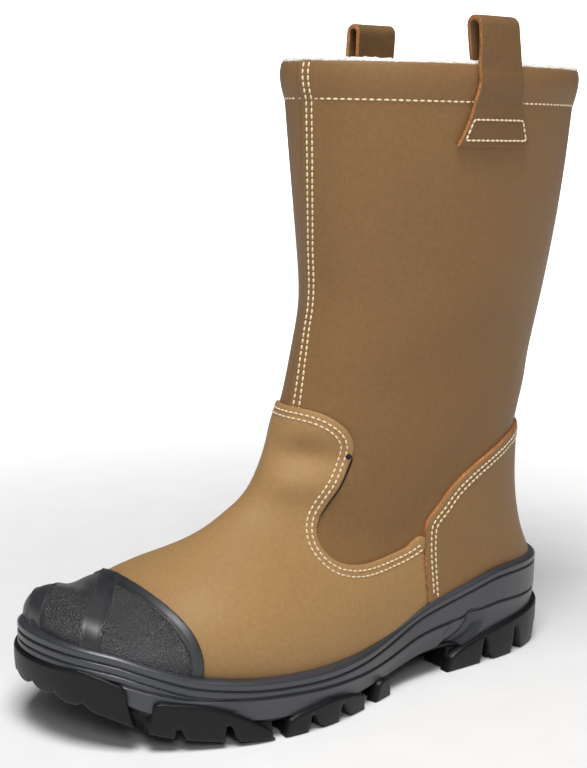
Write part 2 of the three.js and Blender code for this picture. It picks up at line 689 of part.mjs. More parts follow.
// The slit between two lugs, which narrows upwards into the side panel.
function notchCut(from, to, up) {
  const narrow = 0.3;
  return sideCut([
    { u: from * soleLength, v: -1 },
    { u: to * soleLength, v: -1 },
    { u: (to + (from - to) * narrow) * soleLength, v: up * panelRise },
    { u: (from + (to - from) * narrow) * soleLength, v: up * panelRise },
  ]);
}

// A strap folded over the collar: up the inside, round a narrow loop and down the outside to a
// broad sewn end. Its path is seen from the front of the boot, and it is bowed with the wall.
function pullLoop(side, lean) {
  const turn = side > 0 ? Math.PI / 2 : (3 * Math.PI) / 2;
  const wallAt = (z) => {
    let top = 0;
    let low = 4;
    for (let i = 0; i < 30; i += 1) {
      const middle = (top + low) / 2;
      if (skinPoint(middle, turn, 0, 0).z > z) top = middle;
      else low = middle;
    }
    return Math.abs(skinPoint(low, turn, 0, 0).x);
  };
  const half = strapThickness / 2;
  const rim = wallAt(collarHeight - gap);
  const outsideX = (z) => wallAt(z) + gap + half;
  const insideX = (z) => wallAt(z) - swell(0.5) - wall - gap - half;
  const loopHalf = half + 1.7;
  const loopTop = collarHeight + strapRise - half - loopHalf;
  const centre = rim - wall / 2;
  const path = [];
  const add = (x, z, width) => path.push({ x, z, width });
  const insideStops = 3;
  for (let i = 0; i < insideStops; i += 1) {
    const z = collarHeight - strapTuck + (i * (strapTuck - 4)) / (insideStops - 1);
    add(insideX(z), z, strapTopWidth);
  }
  add(centre - loopHalf, collarHeight + 6, strapTopWidth);
  const arcStops = 5;
  for (let i = 0; i <= arcStops; i += 1) {
    const angle = Math.PI - (Math.PI * i) / arcStops;
    add(centre + loopHalf * Math.cos(angle), loopTop + loopHalf * Math.sin(angle), strapTopWidth);
  }
  add(centre + loopHalf + 0.4, collarHeight + 6, strapTopWidth * 1.04);
  const outsideStops = 6;
  for (let i = 0; i < outsideStops; i += 1) {
    const share = i / (outsideStops - 1);
    const z = collarHeight - 2 - share * (strapDrop - 2);
    const width = THREE.MathUtils.lerp(strapTopWidth * 1.08, strapFootWidth, share ** 2);
    add(outsideX(z), z, width);
  }
  const collarBow = (y) => {
    const reach = (2 * y) / collarLength;
    return (collarWidth / 2) * (1 - Math.sqrt(1 - reach * reach));
  };
  const acrossStops = 4;
  const rings = path.map((stop, i) => {
    const before = path[Math.max(i - 1, 0)];
    const after = path[Math.min(i + 1, path.length - 1)];
    const ahead = new THREE.Vector2(after.x - before.x, after.z - before.z).normalize();
    const forward = (lean * (stop.z - path[path.length - 1].z)) / (strapDrop + strapRise);
    const flare = strapFlareAhead * (stop.width - strapTopWidth);
    const ring = [];
    for (const face of [1, -1]) {
      for (let k = 0; k < acrossStops; k += 1) {
        const y = face * (k / (acrossStops - 1) - 0.5) * stop.width;
        const x = stop.x - collarBow(y) + face * ahead.y * half;
        const z = stop.z - face * ahead.x * half;
        ring.push(new THREE.Vector3(side * x, y - strapSetBack - forward - flare, z));
      }
    }
    return ring;
  });
  const clear = form(gap, gap).subtract(form(-wall - gap, collarHeight));
  return ringSolid(rings).subtract(clear);
}

const boot = new THREE.Group();
boot.add(
  piece("outsole", outsole(), blackRubber),
  piece("midsole", midsole(), greyFoam),
  piece("insole", insole(), sockBoard),
  piece("upper", upper(), tanLeather),
  piece("vamp", vamp(), tanLeather),
  piece("counter", counter(), tanLeather),
  piece("toe_cap", toeCap(), blackRubber),
  piece("pull_loop_outer", pullLoop(1, strapLean), cutLeather),
  piece("pull_loop_inner", pullLoop(-1, 0), cutLeather),
);

const box = new THREE.Box3().setFromObject(boot);
const middle = box.getCenter(new THREE.Vector3());
boot.position.set(-middle.x, -middle.y, -box.min.z);

export default boot;
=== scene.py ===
# Safety boot: a tan leather pull-on work boot for the left foot, standing empty on a pale floor.
# Sizes are in millimetres while a piece is shaped, with y = 0 at the back of the sole, the toe along
# -Y and +X on the outer side of the foot. Each mesh is then stored in metres where the frame has it.

import math

import bmesh
import bpy
import numpy as np
from mathutils import Matrix, Vector


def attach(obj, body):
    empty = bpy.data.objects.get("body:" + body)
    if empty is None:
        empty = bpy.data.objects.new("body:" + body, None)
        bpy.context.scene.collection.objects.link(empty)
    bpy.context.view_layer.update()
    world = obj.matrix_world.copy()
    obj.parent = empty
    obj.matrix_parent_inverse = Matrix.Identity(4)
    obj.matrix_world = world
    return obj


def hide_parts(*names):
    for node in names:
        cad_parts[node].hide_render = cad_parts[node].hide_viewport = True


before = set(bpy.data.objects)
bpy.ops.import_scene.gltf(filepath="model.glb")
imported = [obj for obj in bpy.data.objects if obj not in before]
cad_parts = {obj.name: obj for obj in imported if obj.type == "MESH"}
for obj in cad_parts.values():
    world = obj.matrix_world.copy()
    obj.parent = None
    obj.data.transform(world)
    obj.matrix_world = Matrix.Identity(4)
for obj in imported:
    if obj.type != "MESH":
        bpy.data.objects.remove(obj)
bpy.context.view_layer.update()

# Studio
# A white table under one large soft lamp, overhead on the camera's side, with a weak lamp in front and
# another behind. The camera looks back and a little down from the outer side of the toe.

# From the millimetres that the boot is shaped in to its place in the frame.
frame_shift = np.array([-1.876, 148.845, 0.0])
boot_aim = Vector((0.0, 0.02, 0.15))

turn_left = math.radians(54.8)
look_down = math.radians(10.96)
camera_roll = math.radians(1.23)
ahead = Vector((
    -math.sin(turn_left) * math.cos(look_down),
    math.cos(turn_left) * math.cos(look_down),
    -math.sin(look_down),
))
level = Vector((math.cos(turn_left), math.sin(turn_left), 0.0))
above = level.cross(ahead)
across = level * math.cos(camera_roll) + above * math.sin(camera_roll)
upright = above * math.cos(camera_roll) - level * math.sin(camera_roll)
camera_lens = bpy.data.cameras.new("camera")
camera_lens.lens = 65.6
camera_lens.sensor_width = 36
camera = bpy.data.objects.new("camera", camera_lens)
camera_place = Matrix((across, upright, -ahead)).transposed().to_4x4()
camera_place.translation = Vector((np.array([566.6, -562.5, 290.1]) + frame_shift) / 1000)
camera.matrix_world = camera_place
bpy.context.collection.objects.link(camera)
bpy.context.scene.camera = camera

for lamp_name, lamp_place, lamp_size, lamp_power in [
    ("top_lamp", (0.46, -0.38, 1.68), 0.8, 34),
    ("front_lamp", (0.78, -0.48, 0.66), 0.35, 2.0),
    ("back_lamp", (-0.9, 0.9, 1.1), 0.8, 1.0),
]:
    lamp_light = bpy.data.lights.new(lamp_name, "AREA")
    lamp_light.shape = "SQUARE"
    lamp_light.size = lamp_size
    lamp_light.energy = lamp_power
    lamp = bpy.data.objects.new(lamp_name, lamp_light)
    lamp.location = lamp_place
    lamp.rotation_euler = (boot_aim - Vector(lamp_place)).to_track_quat("-Z", "Y").to_euler()
    bpy.context.collection.objects.link(lamp)

sky = bpy.data.worlds.new("sky")
sky.use_nodes = True
sky.node_tree.nodes["Background"].inputs["Color"].default_value = (1, 1, 1, 1)
sky.node_tree.nodes["Background"].inputs["Strength"].default_value = 0.08
bpy.context.scene.world = sky
bpy.context.scene.view_settings.view_transform = "Standard"

# The paper behind the boot is lit on its own, so it is white to the eye but adds little light.
sky_nodes = sky.node_tree.nodes
sky_links = sky.node_tree.links
paper = sky_nodes.new("ShaderNodeBackground")
paper.inputs["Strength"].default_value = 2.5
to_eye = sky_nodes.new("ShaderNodeLightPath")
sky_mix = sky_nodes.new("ShaderNodeMixShader")
sky_links.new(to_eye.outputs["Is Camera Ray"], sky_mix.inputs[0])
sky_links.new(sky_nodes["Background"].outputs[0], sky_mix.inputs[1])
sky_links.new(paper.outputs[0], sky_mix.inputs[2])
sky_links.new(sky_mix.outputs[0], sky_nodes["World Output"].inputs[0])


class Wire:
    """One output of a material's nodes. Arithmetic on wires adds Math nodes."""

    def __init__(self, tree, socket=None):
        self.tree = tree
        self.socket = socket

    def node(self, kind, settings=(), values=(), take=0):
        made = self.tree.nodes.new("ShaderNode" + kind)
        for name, value in dict(settings).items():
            if name == "stops":
                ramp = made.color_ramp
                while len(ramp.elements) < len(value):
                    ramp.elements.new(1.0)
                for element, (place, color) in zip(ramp.elements, value):
                    element.position = place
                    element.color = color
            else:
                setattr(made, name, value)
        for key, value in dict(values).items():
            if isinstance(value, Wire):
                self.tree.links.new(value.socket, made.inputs[key])
            else:
                made.inputs[key].default_value = value
        return Wire(self.tree, made.outputs[take])

    def maths(self, operation, first, second):
        return self.node("Math", {"operation": operation}, {0: first, 1: second})

    def __add__(self, other):
        return self.maths("ADD", self, other)

    def __radd__(self, other):
        return self.maths("ADD", other, self)

    def __sub__(self, other):
        return self.maths("SUBTRACT", self, other)

    def __rsub__(self, other):
        return self.maths("SUBTRACT", other, self)

    def __mul__(self, other):
        return self.maths("MULTIPLY", self, other)

    def __rmul__(self, other):
        return self.maths("MULTIPLY", other, self)

    def between(self, low, high):
        """0 below low, 1 above high and smooth on the way."""
        return self.node("MapRange", {"interpolation_type": "SMOOTHSTEP"}, {0: self, 1: low, 2: high})

    def blend(self, first, second):
        """The first colour where this wire is 0 and the second where it is 1."""
        return self.node("Mix", {"data_type": "RGBA"}, {0: self, 6: first, 7: second}, take=2)

    def cloud(self, scale, detail=3.0, roughness=0.5):
        """Noise on the object's own coordinates; scale is in lumps to the metre."""
        place = self.node("TexCoord", take=3)
        values = {"Vector": place, "Scale": scale, "Detail": detail, "Roughness": roughness}
        return self.node("TexNoise", (), values)


def tint(red, green, blue):
    """A screen colour of 0 to 255 as the shader's linear one."""
    shares = [value / 255 for value in (red, green, blue)]
    linear = [((share + 0.055) / 1.055) ** 2.4 if share > 0.04 else share / 12.92 for share in shares]
    return (*linear, 1.0)


def new_finish(name):
    """A material with a bare Principled shader, and a wire to start its nodes from."""
    material = bpy.data.materials.new(name)
    material.use_nodes = True
    shader = material.node_tree.nodes["Principled BSDF"]
    return material, shader, Wire(material.node_tree)


def feed(shader, name, wire):
    wire.tree.links.new(wire.socket, shader.inputs[name])


def bump(wire, height, distance, strength=1.0, under=None):
    values = {"Height": height, "Distance": distance, "Strength": strength}
    if under is not None:
        values["Normal"] = under
    return wire.node("Bump", (), values)


table_finish, table_shader, table_wire = new_finish("white_table")
table_shader.inputs["Roughness"].default_value = 0.6
table_speck = table_wire.cloud(30, 2)
feed(table_shader, "Base Color", table_speck.blend(tint(228, 228, 228), tint(236, 236, 236)))
# The far part of the table glows, more the further it lies from the boot: painted light, as paper on a light
# table, so no horizon shows.
table_place = table_wire.node("TexCoord", take=3)
table_reach = table_wire.node("VectorMath", {"operation": "LENGTH"}, {0: table_place}, take=1)
feed(table_shader, "Emission Color", table_reach.between(0.1, 1.2).blend((0, 0, 0, 1), (1, 1, 1, 1)))
table_shader.inputs["Emission Strength"].default_value = 1.2
table_bm = bmesh.new()
bmesh.ops.create_grid(table_bm, x_segments=8, y_segments=8, size=3.0)
table_mesh = bpy.data.meshes.new("table")
table_bm.to_mesh(table_mesh)
table_bm.free()
table_mesh.materials.append(table_finish)
table = bpy.data.objects.new("table", table_mesh)
bpy.context.collection.objects.link(table)

# Leather upper
# One lasted hull of tan nubuck from the collar to the toe, cut from two halves that lap down the
# front and the back of the leg. The collar's edge is turned in over padding and sewn down.

sole_length = 306
ball_width = 104
heel_width = 76
foot_height = 110
collar_height = 315
collar_length = 174
collar_width = 108
leg_set_back = 78
toe_shift = 14
cuff_depth = 17
cuff_swell = 1.6
hull_wall = 2.6

# Sections from the collar down. Front and back are shares of the collar's length from the middle of
# the leg, heights are shares of the rise from instep to collar, half-widths shares of its width.
leg_columns = "front frontUp back backUp cuff outer inner wide round"
leg_rows = [
    (0.5, 1, -0.5, 1, 0, 0.5, 0.5, 0.5, 2.1),
    (0.491, 1, -0.489, 1, 1, 0.492, 0.492, 0.5, 2.1),
    (0.471, 0.74, -0.475, 0.72, 0, 0.456, 0.456, 0.5, 2.1),
    (0.449, 0.556, -0.443, 0.512, 0, 0.41, 0.41, 0.5, 2.1),
    (0.44, 0.42, -0.4, 0.302, 0, 0.375, 0.372, 0.5, 2.1),
    (0.471, 0.298, -0.362, 0.132, 0, 0.353, 0.345, 0.49, 2.1),
]
# Sections that fan round the instep to the toe, in shares of the sole's length and the foot's height.
foot_columns = "front frontUp back backUp outer inner ball middle wide roundF roundB"
foot_rows = [
    (0.544, 1.327, 0.065, 0.98, 0.49, 0.47, 0, 0, 0.46, 2.1, 2.15),
    (0.572, 1.1, 0.059, 0.745, 0.472, 0.445, 0, 0, 0.42, 2.1, 2.2),
    (0.598, 0.96, 0.042, 0.545, 0.466, 0.435, 0, 0, 0.37, 2.1, 2.3),
    (0.625, 0.886, 0.025, 0.41, 0.464, 0.428, 0, 0, 0.34, 2.1, 2.6),
    (0.648, 0.845, 0.078, 0.3, 0.472, 0.414, 0, 0, 0.33, 2.1, 3),
    (0.672, 0.804, 0.229, 0.27, 0.438, 0.338, 0.4, 0, 0.3, 2.1, 3.4),
    (0.702, 0.76, 0.392, 0.155, 0.463, 0.31, 0.8, 0, 0.3, 2.15, 3.8),
    (0.739, 0.716, 0.539, 0.114, 0.519, 0.37, 1, 0, 0.3, 2.2, 4),
    (0.781, 0.668, 0.667, 0.127, 0.524, 0.471, 1, 0, 0.31, 2.3, 4),
    (0.827, 0.606, 0.765, 0.15, 0.478, 0.478, 1, 0.16, 0.33, 2.4, 4),
    (0.868, 0.532, 0.843, 0.191, 0.435, 0.425, 1, 0.45, 0.35, 2.7, 3.8),
    (0.905, 0.522, 0.899, 0.236, 0.38, 0.348, 1, 0.64, 0.38, 3.1, 3.4),
    (0.938, 0.531, 0.938, 0.291, 0.303, 0.262, 1, 0.82, 0.42, 3.2, 2.8),
    (0.96, 0.513, 0.959, 0.345, 0.192, 0.165, 1, 0.93, 0.46, 2.9, 2.3),
    (0.967, 0.47, 0.967, 0.375, 0.08, 0.065, 1, 0.96, 0.5, 2, 2),
]


def track(at, value):
    """A smooth curve through stops, straight past its ends."""
    at = np.array(at, float)
    value = np.array(value, float)
    before = np.maximum(np.arange(len(at)) - 1, 0)
    after = np.minimum(np.arange(len(at)) + 1, len(at) - 1)
    slope = (value[after] - value[before]) / (at[after] - at[before])

    def read(x):
        x = np.asarray(x, float)
        i = np.clip(np.searchsorted(at, x, "right") - 1, 0, len(at) - 2)
        span = at[i + 1] - at[i]
        u = (x - at[i]) / span
        rise = value[i + 1] - value[i]
        bend = (1 - u) * (slope[i] * span - rise) - u * (slope[i + 1] * span - rise)
        inside = value[i] + u * rise + u * (1 - u) * bend
        inside = np.where(x < at[0], value[0] + slope[0] * (x - at[0]), inside)
        return np.where(x > at[-1], value[-1] + slope[-1] * (x - at[-1]), inside)

    return read


def bell(reach):
    """Weights of a bell-shaped average over this many steps to either side."""
    weights = np.exp(-0.5 * np.linspace(-3, 3, 2 * reach + 1) ** 2)
    return weights / weights.sum()


def last_sections():
    """Front and back points, half-widths and rounds of every section, as smooth curves of t."""
    sections = []
    leg_rise = collar_height - foot_height
    for row in leg_rows:
        r = dict(zip(leg_columns.split(), row))
        sections.append((
            -(leg_set_back + r["front"] * collar_length),
            foot_height + r["frontUp"] * leg_rise - r["cuff"] * cuff_depth,
            -(leg_set_back + r["back"] * collar_length),
            foot_height + r["backUp"] * leg_rise - r["cuff"] * cuff_depth,
            r["outer"] * collar_width, r["inner"] * collar_width, 0.0, r["wide"], r["round"], r["round"],
        ))
    for row in foot_rows:
        r = dict(zip(foot_columns.split(), row))
        width = heel_width + r["ball"] * (ball_width - heel_width)
        sections.append((
            -r["front"] * sole_length, r["frontUp"] * foot_height,
            -r["back"] * sole_length, r["backUp"] * foot_height,
            r["outer"] * width, r["inner"] * width, -r["middle"] * toe_shift,
            r["wide"], r["roundF"], r["roundB"],
        ))
    table = np.array(sections)
    steps = 50
    blur = 45
    fine = np.linspace(-1, len(table), steps * (len(table) + 1) + 1)
    curves = []
    for column in table.T:
        plain = track(range(len(table)), column)(fine)
        soft = np.convolve(np.pad(plain, blur, "edge"), bell(blur), "valid")
        settled = np.clip(np.minimum(fine - 0.2, len(table) - 1.2 - fine) / 1.2, 0, 1)
        curves.append(plain + (soft - plain) * settled)
    return fine, curves


last_t, last_curves = last_sections()
last_end = len(leg_rows) + len(foot_rows) - 1


def last_point(t, turn):
    """A point of the last at t, from the collar at 0 to the toe, with turn 0 at the front of a section."""
    front_y, front_z, back_y, back_z, outer, inner, middle, wide, round_f, round_b = (
        np.interp(t, last_t, curve) for curve in last_curves
    )
    fore = np.cos(turn)
    side = np.sin(turn)
    bend = np.where(fore > 0, round_f, round_b)
    reach = (np.abs(fore) ** bend + np.abs(side) ** bend) ** (-1 / bend)
    u = wide + np.where(fore > 0, 1 - wide, wide) * fore * reach
    half = np.where(side > 0, outer, inner)
    x = middle + half * side * reach
    return np.stack([x, back_y + (front_y - back_y) * u, back_z + (front_z - back_z) * u], -1)


def skin(t, turn, out):
    """A point at a distance outside the last, with the padded cuff's swelling. Past the last's end at
    the toe, the skin closes over it."""
    t = np.asarray(t, float)
    turn = np.asarray(turn, float)
    past = np.clip(t - last_end, 0, 0.999)
    t = np.minimum(t, last_end)
    step = 0.04
    across_skin = last_point(t, turn + step) - last_point(t, turn - step)
    down_skin = last_point(np.minimum(t + step, last_end), turn) - last_point(t - step, turn)
    normal = np.cross(down_skin, across_skin)
    normal /= np.maximum(np.linalg.norm(normal, axis=-1, keepdims=True), 1e-9)
    swell = np.where(t < 1, cuff_swell * np.sin(np.pi * np.clip(t, 0, 1)) ** 0.6, 0)
    base = last_point(t, turn)
    front_turn = np.zeros_like(turn)
    end_middle = (last_point(t, front_turn) + last_point(t, front_turn + np.pi)) / 2
    bend = past[..., None] * np.pi / 2
    stand = normal * np.cos(bend) + np.array([0, -1, 0]) * np.sin(bend)
    return base + (end_middle - base) * past[..., None] + stand * (out + swell)[..., None]


# Soft dents and ridges that walking and lasting leave: the two ends of each as y and z, the side of
# the boot, half the width, and the depth, all in millimetres. A ridge has a negative depth.
creases = [
    ((-188, 126), (-160, 122), 1, 8, 4.4),
    ((-200, 110), (-166, 108), 1, 8, -2.6),
    ((-186, 131), (-152, 138), 0, 8, -0.7),
    ((-188, 88), (-168, 66), 1, 10, 0.9),
    ((-210, 90), (-180, 62), 1, 12, -0.6),
    ((-62, 128), (-108, 82), 1, 11, 1.6),
    ((-44, 152), (-70, 118), 1, 13, -1.0),
    ((-20, 152), (-34, 205), 1, 16, 0.9),
    ((-120, 152), (-60, 178), 1, 17, 0.8),
    ((-128, 176), (-70, 206), 1, 19, -0.8),
    ((-112, 236), (-60, 250), 1, 24, 0.6),
    ((-140, 200), (-150, 268), 1, 16, -0.6),
    ((-62, 128), (-108, 82), -1, 11, 1.4),
    ((-118, 150), (-54, 170), -1, 15, 1.1),
    ((-126, 178), (-66, 200), -1, 18, -0.9),
    ((-30, 216), (-84, 240), -1, 22, 0.8),
    ((-186, 92), (-166, 66), -1, 10, 0.8),
    ((-6, 132), (-30, 118), 0, 9, 0.8),
    ((-12, 152), (-30, 146), 0, 9, -0.6),
]


def relief(points):
    """How far the leather stands out at these points, from the creases."""
    total = np.zeros(points.shape[:-1])
    for start, stop, side, half, depth in creases:
        a = np.array(start, float)
        b = np.array(stop, float)
        flat = points[..., 1:] - a
        along = np.clip(flat @ (b - a) / ((b - a) @ (b - a)), -0.25, 1.25)
        away = np.linalg.norm(flat - along[..., None] * (b - a), axis=-1)
        fade = np.clip(1.25 - np.abs(along - 0.5), 0, 1)
        shape = np.exp(-((away / half) ** 2)) * fade
        if side:
            shape = shape * np.clip(side * points[..., 0] / 18 + 0.2, 0, 1)
        total -= depth * shape
    return total


def leather_point(t, turn, out):
    """The upper's face with its creases."""
    return skin(t, turn, out + relief(skin(t, turn, out)))


def sheet_mesh(columns, rows, place, closed):
    """A grid bent by place(u, v), with u and v from 0 to 1, and u joined round where closed."""
    bm = bmesh.new()
    bmesh.ops.create_grid(bm, x_segments=columns, y_segments=rows, size=0.5)
    flat = np.array([vert.co[:2] for vert in bm.verts]) + 0.5
    for vert, point in zip(bm.verts, place(flat[:, 0], flat[:, 1])):
        vert.co = point
    if closed:
        bmesh.ops.remove_doubles(bm, verts=bm.verts, dist=0.001)
    return bm


def only(items, kind):
    """The vertices, edges or faces among what an operator returns."""
    return [item for item in items if isinstance(item, kind)]


def put(name, bm, finishes):
    """Stores a shaped mesh in metres in the frame, and lets it ride with the boot."""
    bmesh.ops.translate(bm, verts=bm.verts, vec=Vector(frame_shift))
    bmesh.ops.scale(bm, verts=bm.verts, vec=(0.001, 0.001, 0.001))
    mesh = bpy.data.meshes.new(name)
    bm.to_mesh(mesh)
    bm.free()
    for finish in finishes:
        mesh.materials.append(finish)
    mesh.polygons.foreach_set("use_smooth", [True] * len(mesh.polygons))
    piece = bpy.data.objects.new(name, mesh)
    bpy.context.collection.objects.link(piece)
    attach(piece, "root")
    return piece


def leather_finish(name, light, dark, grain=1.0):
    """Tan nubuck: a mottled matt face with fine pores, a little darker in broad patches."""
    material, shader, wire = new_finish(name)
    patches = wire.cloud(9, 2, 0.5).between(0.25, 0.75)
    mottle = wire.cloud(420, 5, 0.65).between(0.3, 0.72)
    tone = patches * 0.4 + mottle * 0.6
    color = tone.blend(dark, light)
    pores = wire.cloud(2100, 3, 0.6)
    deep = (1 - pores.between(0.3, 0.46)) * 0.35
    color = deep.blend(color, (dark[0] * 0.55, dark[1] * 0.52, dark[2] * 0.5, 1))
    feed(shader, "Base Color", color)
    feed(shader, "Roughness", 0.5 + mottle * 0.14)
    shader.inputs["Specular IOR Level"].default_value = 0.2
    shader.inputs["Sheen Weight"].default_value = 0.02
    shader.inputs["Sheen Roughness"].default_value = 0.5
    wrinkles = bump(wire, wire.cloud(75, 6, 0.6), 0.0006, 0.35 * grain)
    feed(shader, "Normal", bump(wire, pores, 0.00012, 0.55 * grain, wrinkles))
    return material


hull_leather = leather_finish("tan_leather", tint(128, 97, 61), tint(116, 86, 53))

# Heights at shares of the sole's length: the tread's spring off the floor at the toe, the bed's rise
# at the toe and at the heel, and the arch under the waist, each as a share of its own size.
height_along = [
    0, 0.1, 0.17, 0.24, 0.29, 0.35, 0.425, 0.5, 0.56, 0.63, 0.7, 0.76, 0.82, 0.876, 0.92, 0.965, 1,
]
spring_share = [0, 0, 0, 0, 0, 0, 0, 0, 0, 0, 0.05, 0.13, 0.24, 0.42, 0.7, 0.95, 1.1]
rise_share = [0, 0, 0, 0, 0, 0, 0, 0, 0, 0.02, 0.07, 0.14, 0.26, 0.49, 0.68, 0.79, 0.85]
lift_share = [0.93, 1, 0.99, 0.8, 0.66, 0.49, 0.17, 0.02, 0, 0, 0, 0, 0, 0, 0, 0, 0]
arch_share = [0, 0, 0, 0.1, 0.8, 1, 0.3, 0, 0, 0, 0, 0, 0, 0, 0, 0, 0]
heel_bed = 41
ball_bed = 18
toe_rise = 27
bed_line = track(height_along, [
    ball_bed + toe_rise * rise + (heel_bed - ball_bed) * lift for rise, lift in zip(rise_share, lift_share)
])


def along_sole(y):
    """The share of the sole's length at y, from the heel to the toe."""
    return np.clip(-np.asarray(y) / sole_length, 0, 1)


def bed_height(y):
    """The bed that the upper stands on."""
    return bed_line(along_sole(y))


def cut_at_bed(bm):
    """Takes away what would lie inside the sole."""
    hidden = [vert for vert in bm.verts if vert.co.z < float(bed_height(vert.co.y)) + 1]
    bmesh.ops.delete(bm, geom=hidden, context="VERTS")


hull_from = 0.045


def hull_place(u, v):
    return leather_point(hull_from + v * (last_end - hull_from), 2 * np.pi * u, np.zeros_like(u))


hull_bm = sheet_mesh(200, 300, hull_place, True)
cut_at_bed(hull_bm)
hull_mouth = [edge for edge in hull_bm.edges if edge.is_boundary and edge.verts[0].co.z > 300]
leg_middle = Vector((0, -leg_set_back, 0))
for roll_in, roll_up in [(0.7, 0.62), (1.0, 0.2), (1.2, -1.2)]:
    rolled = bmesh.ops.extrude_edge_only(hull_bm, edges=hull_mouth)["geom"]
    hull_mouth = only(rolled, bmesh.types.BMEdge)
    for vert in only(rolled, bmesh.types.BMVert):
        inward = (leg_middle - vert.co) * Vector((1, 1, 0))
        vert.co += inward.normalized() * roll_in + Vector((0, 0, roll_up))
hull = put("leather_upper", hull_bm, [hull_leather])
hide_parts("upper")

# Lining and collar rim
# An off-white fleece lines the leg and shows as a thin soft rim above the leather's folded edge. It
# is glued to the hull and closed by the insole at the bottom.

def fibre_finish(name, dark, light, fibre, band, rough, relief, patch=None, sheen=0.0):
    """Fleece, raw leather, thread or felt: one fine noise gives its tone, roughness and relief, and
    patches of a third colour may lie over it."""
    material, shader, wire = new_finish(name)
    strand = wire.cloud(*fibre)
    color = strand.between(*band).blend(dark, light)
    if patch:
        scale, low, high, share, stain = patch
        color = (wire.cloud(scale, 3).between(low, high) * share).blend(color, stain)
    feed(shader, "Base Color", color)
    feed(shader, "Roughness", rough[0] + strand * rough[1])
    feed(shader, "Normal", bump(wire, strand, *relief))
    shader.inputs["Sheen Weight"].default_value = sheen
    return material


fleece = fibre_finish(
    "white_fleece", tint(186, 182, 174), tint(240, 238, 233), (520, 5, 0.7), (0.28, 0.6), (0.86, 0.1),
    (0.0011, 0.9), (60, 0.3, 0.75, 0.25, tint(222, 216, 205)), 0.35,
)


def lining_place(u, v):
    return skin(0.02 + v * (last_end - 0.5), -2 * np.pi * u, np.full_like(u, -hull_wall))


lining_bm = sheet_mesh(110, 150, lining_place, True)
cut_at_bed(lining_bm)
lining = put("fleece_lining", lining_bm, [fleece])
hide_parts("upper")

rim_radius = 1.4


def rim_place(u, v):
    """A thin roll of pile along the collar, with tufts of three sizes."""
    around = 2 * np.pi * u
    edge = skin(np.zeros_like(u), around, np.full_like(u, -hull_wall / 2 - 0.2))
    outward = (edge - np.array(leg_middle)) * [1, 1, 0]
    outward /= np.linalg.norm(outward, axis=-1, keepdims=True)
    angle = -2 * np.pi * v
    fuzz = 0.28 * np.sin(61 * around + 3 * np.sin(angle)) * np.sin(23 * around + 2 * angle)
    fuzz += 0.18 * np.sin(149 * around + 5 * angle)
    radius = rim_radius + fuzz
    lift = 0.35 * np.sin(9 * around) * np.sin(4 * around + 1)
    ring = edge + outward * (radius * np.cos(angle))[:, None]
    ring[:, 2] = collar_height + 0.2 + lift + radius * np.sin(angle) * 1.05
    return ring


put("fleece_rim", sheet_mesh(480, 10, rim_place, True), [fleece])

# Vamp and counter
# Two more pieces of the same leather, 1.8 mm thick: the vamp over the foot, whose edge swings round
# the ankle, and the counter round the heel. The vamp's copy of the leather is lighter, painted light
# where it faces up to the lamp, and the counter's is a little lighter. Their cut edges show raw, and
# each is sewn in two rows.

leather_thick = 1.8

vamp_outline = [
    (0.335, -0.5), (0.335, 0), (0.335, 0.35), (0.335, 0.6), (0.336, 0.685), (0.372, 0.645), (0.409, 0.625),
    (0.45, 0.612), (0.483, 0.618), (0.51, 0.64), (0.528, 0.68), (0.539, 0.742), (0.534, 0.823),
    (0.518, 0.895), (0.496, 0.985), (0.479, 1.09), (0.475, 1.16), (0.485, 1.23), (0.507, 1.286),
    (0.532, 1.318), (0.565, 1.33), (0.65, 1.33), (1.0, 1.33), (1.3, 1.33), (1.3, -0.5),
]
counter_outline = [
    (-0.3, -0.5), (0.332, -0.5), (0.332, 0), (0.332, 0.4), (0.332, 0.66), (0.33, 0.735), (0.322, 0.775),
    (0.302, 0.83), (0.28, 0.9), (0.25, 0.965), (0.21, 1.025), (0.165, 1.075), (0.12, 1.112), (0.06, 1.14),
    (0, 1.155), (-0.1, 1.16), (-0.3, 1.16),
]


def outline_curve(rows):
    """A closed outline seen from the side, in millimetres, rounded between its stops."""
    stops = np.array(rows, float) * [-sole_length, foot_height]
    points = []
    count = len(stops)
    for i in range(count):
        p0, p1, p2, p3 = (stops[(i + k) % count] for k in (-1, 0, 1, 2))
        span = np.linalg.norm(p2 - p1)
        if span > 60:
            points.append(p1)
            continue
        for share in np.linspace(0, 1, 7)[:-1]:
            before = (p2 - p0) / max(np.linalg.norm(p2 - p0), 1) * span
            after = (p3 - p1) / max(np.linalg.norm(p3 - p1), 1) * span
            a = 2 * share**3 - 3 * share**2 + 1
            b = share**3 - 2 * share**2 + share
            c = 3 * share**2 - 2 * share**3
            d = share**3 - share**2
            points.append(a * p1 + b * before + c * p2 + d * after)
    return np.array(points)


def depth_inside(outline, flat):
    """How far flat points lie inside a closed outline; negative outside it."""
    after = np.roll(outline, -1, axis=0)
    best = np.full(len(flat), 1e9)
    crossings = np.zeros(len(flat), int)
    for a, b in zip(outline, after):
        run = b - a
        size = run @ run
        if size < 1e-9:
            continue
        share = np.clip((flat - a) @ run / size, 0, 1)
        gap = flat - a - share[:, None] * run
        best = np.minimum(best, np.einsum("ij,ij->i", gap, gap))
        if a[1] != b[1]:
            level_cut = (a[1] > flat[:, 1]) != (b[1] > flat[:, 1])
            cut_at = a[0] + (flat[:, 1] - a[1]) / (b[1] - a[1]) * run[0]
            crossings += level_cut & (flat[:, 0] < cut_at)
    return np.sqrt(best) * np.where(crossings % 2 == 1, 1, -1)


